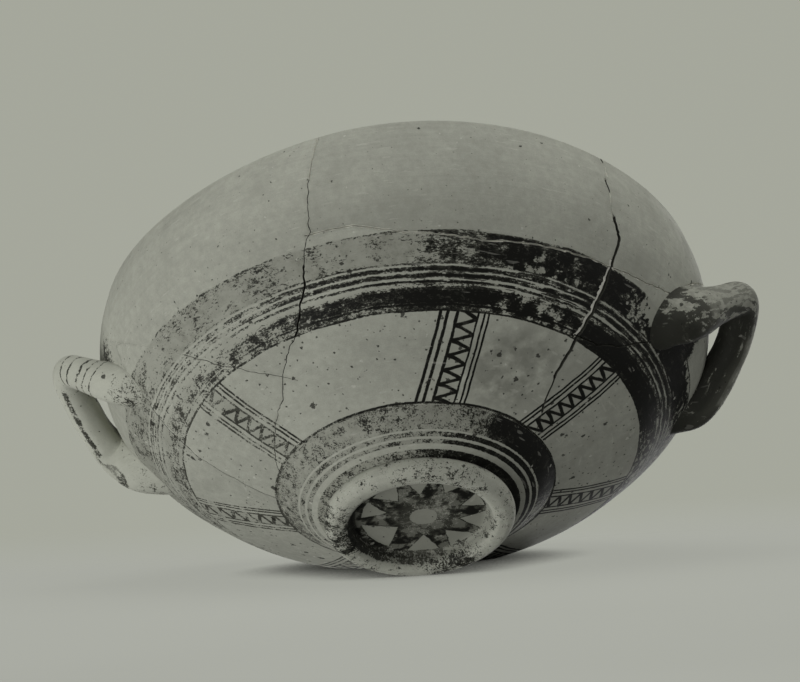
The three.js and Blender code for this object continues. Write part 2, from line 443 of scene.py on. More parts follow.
@dataclass
class WallShape:
    """The thrown wall's profile, in millimetres, as the CAD model has it."""

    stations: tuple = ((58, 21.8), (77, 30.2), (96.5, 41), (110, 53), (120, 64), (127, 76),
                       (129.98, 89), (129.58, 102), (126.98, 112.5))
    wall_at_rim: float = 5.0
    wall_at_floor: float = 7.0
    thinning: float = 1.6
    lip_radius: float = 2.5
    shoulder_height: float = 64.0
    rim_height: float = 115.0
    swells: tuple = (RimSwell(-136, 46, -4.0), RimSwell(-72, 44, 2.05))
    outer_steps: int = 84
    lip_steps: int = 12
    inner_steps: int = 56

    def station(self, t: float) -> tuple[np.ndarray, np.ndarray]:
        """Find a place on the outer wall's outline.

        Args:
            t: How far along, 0 at the stem and 1 at the lip.

        Returns:
            The point as radius and height, and the outward normal.
        """
        points = np.array(self.stations, float)
        step = 1e-4
        along = catmull_rom(points, min(t + step, 1.0)) - catmull_rom(points, max(t - step, 0.0))
        along /= np.linalg.norm(along)
        return catmull_rom(points, t), np.array((along[1], -along[0]))

    def at_height(self, height: float) -> tuple[np.ndarray, np.ndarray]:
        """Find the outer wall's place at a height, running on straight above and below the wall.

        Args:
            height: The height in millimetres.

        Returns:
            The point and the outward normal.
        """
        low, high = 0.0, 1.0
        for _ in range(30):
            middle = (low + high) / 2
            if self.station(middle)[0][1] < height:
                low = middle
            else:
                high = middle
        point, normal = self.station(low)
        beyond = height - point[1]
        if abs(beyond) > 0.01:
            point = np.array((point[0] - beyond * normal[1] / normal[0], height))
        return point, normal

    def inner_point(self, t: float) -> np.ndarray:
        """Find a place on the inner wall's outline.

        Args:
            t: How far along, as in station.

        Returns:
            The point across from the outer one.
        """
        point, normal = self.station(t)
        share = min(1.0, self.thinning * t)
        return point - normal * (self.wall_at_floor + (self.wall_at_rim - self.wall_at_floor) * share)

    def lift(self, azimuth: float, height: float) -> float:
        """Work out how far the uneven rim moves a point up.

        Args:
            azimuth: The point's azimuth in degrees.
            height: Its height in millimetres.

        Returns:
            The lift in millimetres.
        """
        total = 0.0
        for swell in self.swells:
            turn = (azimuth - swell.azimuth + 180) % 360 - 180
            offset = min(1.0, abs(turn) / swell.half_width)
            total += swell.lift * (1 + math.cos(math.pi * offset)) / 2
        return total * eased((height - self.shoulder_height) / (self.rim_height - self.shoulder_height))

    def outline(self) -> list[tuple[float, float]]:
        """List the closed outline: up outside, round the lip and down inside.

        Returns:
            (radius, height) points.
        """
        points = [tuple(self.station(i / self.outer_steps)[0]) for i in range(self.outer_steps + 1)]
        lip_centre = self.stations[-1][0] - self.lip_radius
        for i in range(1, self.lip_steps + 1):
            angle = math.pi * i / self.lip_steps
            points.append((lip_centre + self.lip_radius * math.cos(angle),
                           self.stations[-1][1] + self.lip_radius * math.sin(angle)))
        for i in range(self.inner_steps - 1, -1, -1):
            points.append(tuple(self.inner_point(i / self.inner_steps)))
        return points

    def envelope(self, growth: float) -> list[tuple[float, float]]:
        """List the outline of everything inside the outer face.

        Args:
            growth: How much larger it is, in millimetres.

        Returns:
            (radius, height) points.
        """
        sides = [self.station(i / self.outer_steps) for i in range(self.outer_steps + 1)]
        return [(AXIS, self.stations[0][1]), *(tuple(point + normal * growth) for point, normal in sides),
                (AXIS, self.stations[-1][1] + self.lip_radius)]


WALL = WallShape()


def lathe(name: str, outline: list, segments: int, uneven: bool) -> bpy.types.Object:
    """Turn a closed outline about Z with geometry nodes.

    Args:
        name: The new object's name.
        outline: (radius, height) points in millimetres.
        segments: Steps in a full turn.
        uneven: Whether the rim's swells are put on.

    Returns:
        A closed plain mesh object.
    """
    profile = mesh_object(name, [(radius * MM, 0.0, height * MM) for radius, height in outline])
    tree = Recipe("turn about the axis", {"Profile": "Geometry", "Segments": "Int", "Profile points": "Int"})
    turns, rows = (tree.number(tree.given[title]) for title in ("Segments", "Profile points"))
    grid = tree.add("GeometryNodeMeshGrid", None, {"Vertices X": turns + 1, "Vertices Y": rows + 1})
    index = tree.number(tree.add("GeometryNodeInputIndex").outputs[0])
    angle = tree.math("FLOOR", index / (rows + 1)) / turns * math.tau
    row = tree.math("MODULO", index, rows + 1)
    row = tree.math("MODULO", row + 0.25, rows) - 0.25
    sampled = tree.add("GeometryNodeSampleIndex", {"data_type": "FLOAT_VECTOR"}, {
        "Geometry": tree.given["Profile"], "Index": row,
        "Value": tree.add("GeometryNodeInputPosition").outputs[0],
    })
    turned = tree.add("ShaderNodeVectorRotate", {"rotation_type": "Z_AXIS"}, {
        "Vector": sampled.outputs[0], "Angle": angle,
    })
    placed = tree.add("GeometryNodeSetPosition", None, {
        "Geometry": grid.outputs["Mesh"], "Position": turned.outputs[0],
    })
    merged = tree.add("GeometryNodeMergeByDistance", None, {"Geometry": placed.outputs[0], "Distance": 1e-6})
    solid = tree.run(profile, merged, {"Segments": segments, "Profile points": len(outline)}, name)
    if uneven:
        positions = read_points(solid)
        for i, (x, y, z) in enumerate(positions):
            positions[i, 2] = z + WALL.lift(math.degrees(math.atan2(y, x)), z / MM) * MM
        write_points(solid, positions)
    outward(solid)
    return solid


@dataclass(frozen=True)
class Edges:
    """How a break was closed, in mm.

    gap is its width inside, left and right are how much chipped off each edge at the surface,
    depth is how deep the chips go, and fresh lists the sides of the knife that leave pale clay.
    """

    gap: float
    left: float
    right: float
    depth: float = 0.55
    fresh: tuple = ()


class Seam(Enum):
    """The kinds of seam that the mended bowl shows."""

    TIGHT = Edges(0.02, 0.0, 0.0)
    FAINT = Edges(0.08, 0.06, 0.06)
    RUBBED = Edges(0.08, 0.16, 0.16, fresh=(0, 1, 5, 6))
    HAIRLINE = Edges(0.12, 0.08, 0.08)
    FILLED = Edges(0.08, 0.24, 0.24, fresh=(0, 1, 5, 6))
    CHIPPED = Edges(0.4, 0.18, 0.18)
    WIDE = Edges(1.05, 0.2, 0.2)
    OPEN = Edges(1.05, 1.15, 0.12, 0.28, (0,))


@dataclass(frozen=True)
class Break:
    """A line of breakage as (azimuth in degrees, outside height in mm) points.

    seams gives each kind of seam with the share of the length it starts at, and jag is how far
    the line strays, in mm.
    """

    name: str
    points: tuple
    seams: tuple
    jag: float = 0.45


BREAKS = (
    Break("left_rise", (
        (-102, 122), (-105, 88), (-106.2, 69.4), (-107.5, 66), (-110.8, 52.5), (-116, 42.2),
        (-131.9, 30.5), (-147, 26), (-162, 22.6), (-166, 20),
    ), (
        (0.0, Seam.RUBBED), (0.22, Seam.HAIRLINE), (0.46, Seam.CHIPPED), (0.62, Seam.HAIRLINE),
        (0.8, Seam.FAINT),
    )),
    Break("shoulder_line", (
        (-107.3, 68.5), (-98, 68.4), (-89, 64.3), (-73, 61.8), (-59.7, 63.4), (-43.3, 64.5),
        (-33.7, 66.5), (-25.4, 70.1), (-19.4, 81.9), (-8, 98), (-2, 122),
    ), ((0.0, Seam.FILLED),)),
    Break("right_rise", (
        (-47, 122), (-45.6, 109.5), (-47, 99), (-45.9, 84), (-43.7, 75), (-43.6, 63),
        (-43.1, 48.1), (-43.8, 40.5), (-42.4, 32.7), (-38, 26.5), (-31, 22.6), (-28, 20),
    ), (
        (0.0, Seam.CHIPPED), (0.1, Seam.RUBBED), (0.2, Seam.CHIPPED), (0.26, Seam.RUBBED),
        (0.36, Seam.WIDE), (0.51, Seam.OPEN), (0.75, Seam.WIDE), (0.84, Seam.CHIPPED),
        (0.92, Seam.HAIRLINE),
    )),
    Break("under_handle_line", (
        (-44.8, 42.1), (-36.9, 42.8), (-30, 46.5), (-23.6, 53.1), (-20.2, 61.6), (-19, 84),
    ), ((0.0, Seam.CHIPPED),)),
    Break("left_floor_line", (
        (-123.6, 32.4), (-131.9, 37.7), (-138.8, 44), (-151, 62), (-164, 84), (-174, 122),
    ), ((0.0, Seam.FAINT), (0.3, Seam.TIGHT))),
    Break("low_floor_line", (
        (176, 20), (178.4, 22.6), (183.4, 30), (189.6, 41.5), (194, 54), (199.9, 80.3),
    ), ((0.0, Seam.FAINT), (0.6, Seam.TIGHT))),
)


@dataclass(frozen=True)
class Sherd:
    """One piece of the broken wall, found by a point in its middle."""

    node: str
    azimuth: float
    height: float
    tone: float


@dataclass
class BrokenWall:
    """The wall, cut into its sherds along the breaks. Knife sizes are in millimetres."""

    segments: int = 360
    step: float = 1.3
    outward_reach: float = 1.4
    gap_depth: float = 2.6
    glue_width: float = 0.08
    inward_reach: float = 13.0
    sherds: tuple = (
        Sherd("sherd_back", 90, 70, 0.93),
        Sherd("sherd_rim_left", -130, 90, 1.0),
        Sherd("sherd_floor_left", -150, 36, 1.03),
        Sherd("sherd_floor_middle", -75, 40, 1.09),
        Sherd("sherd_rim_middle", -75, 90, 0.95),
        Sherd("sherd_rim_right", -30, 95, 0.98),
        Sherd("sherd_shoulder", -34, 56, 1.02),
    )

    def knife(self, line: Break, seed: int) -> bpy.types.Object:
        """Make the thin jagged body that one break takes out of the wall.

        Args:
            line: The break.
            seed: Moves the jags, so that each break has its own.

        Returns:
            A closed ribbon, upright on the wall, that flares where the edges are chipped.
        """
        spots = self._spots(line, seed)
        rings = []
        for i, (centre, face, share) in enumerate(spots):
            before = spots[max(0, i - 1)][0]
            after = spots[min(len(spots) - 1, i + 1)][0]
            side = face.cross(after - before).normalized()
            kind = self._seam(line, share).value
            half_gap, left, right = self._widths(kind, share, seed)
            half_glue = min(half_gap, self.glue_width / 2)
            reach = 1 + self.outward_reach / kind.depth
            profile = (
                (self.outward_reach, -half_gap - left * reach), (-kind.depth, -half_gap),
                (-self.gap_depth, -half_glue), (-self.inward_reach, -half_glue),
                (-self.inward_reach, half_glue), (-self.gap_depth, half_glue),
                (-kind.depth, half_gap), (self.outward_reach, half_gap + right * reach),
            )
            rings.append([centre + face * depth * MM + side * width * MM for depth, width in profile])
        looks = [self._seam(line, share).value.fresh for _, _, share in spots]
        return self._skin(f"knife_{line.name}", rings, looks)

    def _spots(self, line: Break, seed: int) -> list[tuple[Vector, Vector, float]]:
        """Place points close together along a break.

        Args:
            line: The break.
            seed: Moves the jags.

        Returns:
            (centre, outward direction, share of the break's length) of each point.
        """
        fine = []
        for (azimuth_a, height_a), (azimuth_b, height_b) in zip(line.points, line.points[1:]):
            radius = WALL.at_height((height_a + height_b) / 2)[0][0]
            across = math.radians(azimuth_b - azimuth_a) * radius
            steps = max(2, round(math.hypot(across, (height_b - height_a) * 1.3) / self.step))
            for i in range(steps):
                share = i / steps
                fine.append((azimuth_a + (azimuth_b - azimuth_a) * share,
                             height_a + (height_b - height_a) * share))
        fine.append(line.points[-1])
        spots = []
        for i, (azimuth, height) in enumerate(fine):
            share = i / (len(fine) - 1)
            jag, fine_jag, rise = (
                noise.noise(Vector((i * pace, seed * 7.7, row)))
                for pace, row in ((0.31, 0), (0.93, 5), (0.42, 9))
            )
            fade = min(1.0, 8 * share, 8 * (1 - share))
            point, normal = WALL.at_height(height + line.jag * rise * fade)
            angle = math.radians(azimuth) + line.jag * 1.6 * (jag + 0.5 * fine_jag) * fade / point[0]
            radial = Vector((math.cos(angle), math.sin(angle), 0.0))
            centre = radial * point[0] * MM
            centre.z = (point[1] + WALL.lift(azimuth, point[1])) * MM
            face = radial * normal[0]
            face.z = normal[1]
            spots.append((centre, face, share))
        return spots

    def _seam(self, line: Break, share: float) -> Seam:
        """Return the kind of seam at a share of the break's length."""
        return [kind for start, kind in line.seams if share >= start][-1]

    def _widths(self, kind: Edges, share: float, seed: int) -> tuple[float, float, float]:
        """Vary a seam along its break.

        Args:
            kind: The seam.
            share: How far along the break, from 0 to 1.
            seed: Moves the variation.

        Returns:
            Half the gap and what is chipped off left and right, in millimetres.
        """
        wear = noise.noise(Vector((share * 31, seed * 3.1, 2.0)))
        nick = max(0.0, noise.noise(Vector((share * 83, seed * 3.1, 8.0))) - 0.12)
        chip = 1 + 0.5 * wear + 2.6 * nick
        return kind.gap * (1 + 0.35 * wear) / 2, kind.left * chip, kind.right * chip

    def _skin(self, name: str, rings: list, looks: list) -> bpy.types.Object:
        """Join rings of corners into a closed skin, opposite sides folded alike.

        Args:
            name: The new object's name.
            rings: The corners of each ring.
            looks: For each ring which of its sides are fresh, kept as the faces' material.

        Returns:
            The closed skin.
        """
        sides = len(rings[0])
        faces = []
        slots = []
        for ring in range(len(rings) - 1):
            for side in range(sides):
                a = ring * sides + side
                b = ring * sides + (side + 1) % sides
                slots += [MARKS.index("fresh" if side in looks[ring] else "dirty")] * 2
                if 2 * side < sides:
                    faces += [(a, b, b + sides), (a, b + sides, a + sides)]
                else:
                    faces += [(a, b, a + sides), (b, b + sides, a + sides)]
        last = (len(rings) - 1) * sides
        for side in range(1, sides - 1):
            faces += [(0, side + 1, side), (last, last + side, last + side + 1)]
            slots += [MARKS.index("dirty")] * 2
        skin = mesh_object(name, [corner for ring in rings for corner in ring], faces=faces)
        for mark in MARKS:
            skin.data.materials.append(marker(mark))
        skin.data.polygons.foreach_set("material_index", slots)
        outward(skin)
        return skin

    def build(self) -> list[tuple[Sherd, bpy.types.Object]]:
        """Turn the wall and cut it along every break.

        Returns:
            Each sherd with its object.
        """
        shell = lathe("wall_shell", WALL.outline(), self.segments, uneven=True)
        # The turned grid also has an empty slot, so the only slot is put in again.
        shell.data.materials.clear()
        shell.data.materials.append(marker("skin"))
        knives = [self.knife(line, seed) for seed, line in enumerate(BREAKS)]
        for blade in knives:
            subtract(shell, blade)
        whole = applied(shell, "wall_cut")
        for blade in knives:
            bpy.data.objects.remove(blade, do_unlink=True)
        pieces = self._separate(whole)
        line_spots = [self._spots(line, seed) for seed, line in enumerate(BREAKS)]
        seams = np.array([tuple(centre) for spots in line_spots for centre, _, _ in spots]) / MM
        result = []
        for sherd in self.sherds:
            radius, height = WALL.at_height(sherd.height)[0]
            angle = math.radians(sherd.azimuth)
            middle = np.array((radius * math.cos(angle), radius * math.sin(angle), height)) * MM
            piece = min(pieces, key=lambda one: np.min(np.linalg.norm(read_points(one) - middle, axis=1)))
            pieces.remove(piece)
            piece.name = piece.data.name = f"painted_{sherd.node}"
            self._mark(piece, sherd, seams)
            smooth(piece, 32)
            result.append((sherd, piece))
        for crumb in pieces:
            log.info("left out a crumb of %d points", len(crumb.data.vertices))
            bpy.data.objects.remove(crumb, do_unlink=True)
        return result

    def _separate(self, whole: bpy.types.Object) -> list[bpy.types.Object]:
        """Split a mesh object into its connected parts.

        Args:
            whole: The object. It is deleted.

        Returns:
            An object for each part, with the mark of each face as the attribute "broken".
        """
        ends = np.empty(len(whole.data.edges) * 2, int)
        whole.data.edges.foreach_get("vertices", ends)
        first, second = ends.reshape(-1, 2).T
        label = np.arange(len(whole.data.vertices))
        settled = False
        while not settled:
            low = np.minimum(label[first], label[second])
            new = label.copy()
            np.minimum.at(new, first, low)
            np.minimum.at(new, second, low)
            new = new[new]
            settled = (new == label).all()
            label = new
        positions = read_points(whole)
        corners = [tuple(face.vertices) for face in whole.data.polygons]
        names = [material.name for material in whole.data.materials]
        broken = np.array([MARKS.index(names[face.material_index]) for face in whole.data.polygons])
        face_label = np.array([label[face[0]] for face in corners])
        parts = []
        for value in np.unique(label):
            mine = np.flatnonzero(label == value)
            place = {int(old): new for new, old in enumerate(mine)}
            chosen = np.flatnonzero(face_label == value)
            faces = [tuple(place[c] for c in corners[i]) for i in chosen]
            parts.append(mesh_object("sherd", positions[mine].tolist(), faces=faces))
            set_attribute(parts[-1], "broken", broken[chosen], "FACE")
        bpy.data.objects.remove(whole, do_unlink=True)
        return parts

    def _mark(self, piece: bpy.types.Object, sherd: Sherd, seams: np.ndarray) -> None:
        """Store each point's depth under the outer face, its way to a seam and the sherd's tone.

        Args:
            piece: The sherd's object.
            sherd: The sherd.
            seams: Points along all the breaks, in millimetres.
        """
        outer = np.array([WALL.station(i / 600)[0] for i in range(601)])
        positions = read_points(piece) / MM
        x, y, z = positions.T
        lifts = np.array([WALL.lift(a, height) for a, height in zip(np.degrees(np.arctan2(y, x)), z)])
        set_attribute(piece, "depth", nearest(np.stack((np.hypot(x, y), z - lifts), axis=1), outer))
        set_attribute(piece, "seam", nearest(positions, seams))
        set_attribute(piece, "tone", np.full(len(positions), sherd.tone))


@dataclass
class Foot:
    """The turned foot under the bowl, in mm: recessed floor, worn ring, groove and stem."""

    ring_radius: float = 34.6
    ring_roll: float = 5.5
    ring_centre: float = 5.3
    recess_depth: float = 6.0
    recess_radius: float = 26.0
    recess_step: tuple = ((27.4, 6.55), (28.5, 6.2))
    stem: tuple = ((38.69, 8.98), (39.6, 9.5), (41.4, 10.1), (43.6, 11.05), (46.6, 12.7),
                   (50.1, 14.8), (54.2, 18.1))
    wall_edge: tuple = (58.0, 21.79)
    floor_inside: float = 16.0
    joint_gap: float = 0.04
    joint_drop: float = 0.1
    segments: int = 288
    node: str = "foot"

    def outline(self) -> list[tuple[float, float]]:
        """List the closed outline: recess, ring, stem and the floor inside the bowl.

        Returns:
            (radius, height) points.
        """
        worn = math.degrees(math.asin(self.ring_centre / self.ring_roll))
        points = [(AXIS, self.recess_depth)]
        for i in range(1, 14):
            points.append((self.recess_radius * i / 13, self.recess_depth + 0.6 * (i / 13) ** 4))
        points += self.recess_step
        points += self._ring_arc(180, 180 + worn, 14)
        points += self._ring_arc(360 - worn, 402, 26)
        stem = np.array((*self.stem, (self.wall_edge[0] - self.joint_gap, self.wall_edge[1])))
        points += [tuple(catmull_rom(stem, i / 40)) for i in range(2, 41)]
        radius, height = WALL.inner_point(0) - (self.joint_gap, self.joint_drop)
        rise = (height - self.floor_inside) / radius**2
        for i in range(24, 0, -1):
            points.append((radius * i / 24, self.floor_inside + rise * (radius * i / 24) ** 2))
        return [*points, (AXIS, self.floor_inside)]

    def _ring_arc(self, start: float, end: float, steps: int) -> list[tuple[float, float]]:
        """List points on the ring's roll, flat where it stands.

        Args:
            start: The first angle in degrees.
            end: The last angle in degrees.
            steps: How many steps lie between them.

        Returns:
            (radius, height) points.
        """
        angles = [math.radians(start + (end - start) * i / steps) for i in range(steps + 1)]
        return [(self.ring_radius + self.ring_roll * math.cos(angle),
                 max(0.0, self.ring_centre + self.ring_roll * math.sin(angle))) for angle in angles]

    def build(self) -> bpy.types.Object:
        """Turn the foot.

        Returns:
            The foot's object.
        """
        piece = lathe("painted_foot", self.outline(), self.segments, uneven=False)
        smooth(piece, 40)
        return piece


@dataclass(frozen=True)
class Root:
    """Where an arm of a handle grows out of the wall: radius there and length of the flare, mm."""

    radius: float
    length: float


@dataclass
class Handle:
    """A hand-rolled loop handle, along a route in its slanted plane, in millimetres and degrees.

    seat is how far its ends reach into the wall. Its clay spreads over the wall where the rod
    is closer than fillet, and down to fillet_depth under the surface.
    """

    node: str
    azimuth: float
    root_height: float
    route: tuple
    rod_radius: float
    front: Root
    back: Root
    rise: float = 40.0
    start_radius: float = 119.0
    sunk_depth: float = 15.0
    seat: float = 0.35
    seat_segments: int = 240
    fillet: float = 7.0
    fillet_depth: float = 6.0
    rings: int = 190
    sides: int = 64
    centre_line: list = field(default_factory=list)

    def _spots(self) -> list[Vector]:
        """List the points that the centre line goes through, sunk ends included.

        Returns:
            The points in millimetres.
        """
        angle, slope = math.radians(self.azimuth), math.radians(self.rise)
        radial = Vector((math.cos(angle), math.sin(angle), 0.0))
        across = Vector((-math.sin(angle), math.cos(angle), 0.0))
        spots = []
        for sideways, out in self.route:
            spot = radial * (self.start_radius + out * math.cos(slope)) + across * sideways
            spot.z = self.root_height + out * math.sin(slope)
            spots.append(spot)
        sunk = radial * self.sunk_depth
        return [spots[0] - sunk, *spots, spots[-1] - sunk]

    def _line(self) -> list[Vector]:
        """Draw a centripetal curve through the spots.

        Returns:
            Evenly spaced points in millimetres, one for each ring of the rod.
        """
        spots = self._spots()
        padded = [spots[0] * 2 - spots[1], *spots, spots[-1] * 2 - spots[-2]]
        dense = []
        for i in range(1, len(padded) - 2):
            a, b, c, d = padded[i - 1:i + 3]
            ab, bc, cd = ((q - p).length ** 0.5 for p, q in ((a, b), (b, c), (c, d)))
            slope_in = ((b - a) / ab - (c - a) / (ab + bc) + (c - b) / bc) * bc
            slope_out = ((c - b) / bc - (d - b) / (bc + cd) + (d - c) / cd) * bc
            dense += [hermite(b, c, slope_in, slope_out, step / 60) for step in range(60)]
        dense.append(spots[-1])
        lengths = np.concatenate(([0.0], np.cumsum([(q - p).length for p, q in zip(dense, dense[1:])])))
        even = np.linspace(0, lengths[-1], self.rings)
        columns = [np.interp(even, lengths, [p[axis] for p in dense]) for axis in range(3)]
        return [Vector(p) for p in zip(*columns)]

    def _radius(self, centre: Vector, share: float, length: float) -> float:
        """Work out how thick the rod is at a place.

        Args:
            centre: The place on the centre line, in millimetres.
            share: How far along the rod it is, from 0 to 1.
            length: The rod's length.

        Returns:
            The radius in millimetres.
        """
        root = self.front if centre.y < 0 else self.back
        slimming = eased((length * min(share, 1 - share) - self.sunk_depth) / root.length)
        hand = 0.22 * noise.noise(centre * 0.06) + 0.1 * noise.noise(centre * 0.2)
        return root.radius + (self.rod_radius - root.radius) * slimming + hand - 0.24

    def build(self) -> bpy.types.Object:
        """Sweep the rod along its route and seat it on the wall.

        Returns:
            The handle's object.
        """
        self.centre_line = self._line()
        length = (self.rings - 1) * (self.centre_line[1] - self.centre_line[0]).length
        radii = [self._radius(p, i / (self.rings - 1), length) for i, p in enumerate(self.centre_line)]
        rod = self._sweep(np.array(radii))
        self._fillet(rod)
        envelope = lathe("wall_envelope", WALL.envelope(-self.seat), self.seat_segments, uneven=True)
        subtract(rod, envelope)
        piece = applied(rod, f"painted_{self.node}")
        bpy.data.objects.remove(envelope, do_unlink=True)
        outward(piece)
        self._mark(piece)
        smooth(piece, 50)
        return piece

    def _sweep(self, radii: np.ndarray) -> bpy.types.Object:
        """Sweep a circle along the centre line with geometry nodes.

        Args:
            radii: How thick the rod is at each point of the line, in millimetres.

        Returns:
            The rod's object.
        """
        points = [p * MM for p in self.centre_line]
        route = mesh_object("handle_route", points, [(i, i + 1) for i in range(len(points) - 1)])
        set_attribute(route, "thickness", radii * MM)
        tree = Recipe("roll a rod along a route", {"Route": "Geometry", "Sides": "Int"})
        curve = tree.add("GeometryNodeMeshToCurve", None, {"Mesh": tree.given["Route"]})
        size = tree.add("GeometryNodeInputNamedAttribute", {"data_type": "FLOAT"}, {"Name": "thickness"})
        sized = tree.add("GeometryNodeSetCurveRadius", None, {"Curve": curve.outputs[0], "Radius": 1.0})
        circle = tree.add("GeometryNodeCurvePrimitiveCircle", None, {
            "Resolution": tree.given["Sides"], "Radius": 1.0,
        })
        swept = tree.add("GeometryNodeCurveToMesh", None, {
            "Curve": sized.outputs[0], "Profile Curve": circle.outputs[0],
            "Scale": size.outputs[0], "Fill Caps": True,
        })
        rod = tree.run(route, swept, {"Sides": self.sides}, "handle_rod")
        outward(rod)
        return rod

    def _fillet(self, rod: bpy.types.Object) -> None:
        """Spread the rod where it meets the wall, as clay smoothed down with a finger.

        Args:
            rod: The rod's object, whose points move.
        """
        positions = read_points(rod) / MM
        line = np.array([tuple(p) for p in self.centre_line])
        wall = [WALL.station(i / 300) for i in range(301)]
        stations, normals = (np.array(column) for column in zip(*wall))
        for i, point in enumerate(positions):
            radius = math.hypot(point[0], point[1])
            gaps = stations - (radius, point[2])
            k = int(np.argmin(np.linalg.norm(gaps, axis=1)))
            distance = float(np.dot(-gaps[k], normals[k]))
            if distance > self.fillet or distance < -self.fillet_depth:
                continue
            push = (self.fillet - max(distance, 0.0)) ** 2 / (3.2 * self.fillet)
            face = np.array((*(normals[k][0] * point[:2] / radius), normals[k][1]))
            away = point - line[np.argmin(np.linalg.norm(line - point, axis=1))]
            away -= face * np.dot(away, face)
            size = np.linalg.norm(away)
            if size > 0.5:
                positions[i] = point + away / size * push
        write_points(rod, positions * MM)

    def _mark(self, piece: bpy.types.Object) -> None:
        """Store each point's share of the way along the rod, and how far it faces out and down.

        Args:
            piece: The handle's object.
        """
        line = np.array([tuple(p) for p in self.centre_line])
        positions = read_points(piece) / MM
        run = np.array([np.argmin(np.linalg.norm(line - p, axis=1)) for p in positions])
        angle = math.radians(self.azimuth)
        facing = positions - line[run]
        facing /= np.linalg.norm(facing, axis=1)[:, None]
        set_attribute(piece, "run", run / (len(line) - 1))
        set_attribute(piece, "out", facing @ np.array((math.cos(angle), math.sin(angle), 0.0)))
        set_attribute(piece, "low", -facing[:, 2])


@dataclass(frozen=True)
class Clay:
    """The colours of the bare clay and of the paint."""

    light: tuple = (0.335, 0.343, 0.288, 1.0)
    stained: tuple = (0.165, 0.168, 0.136, 1.0)
    fresh: tuple = (0.6, 0.6, 0.52, 1.0)
    thin_paint: tuple = (0.066, 0.067, 0.053, 1.0)
    thick_paint: tuple = (0.0058, 0.006, 0.0042, 1.0)
    dirt: tuple = (0.016, 0.016, 0.012, 1.0)


CLAY = Clay()


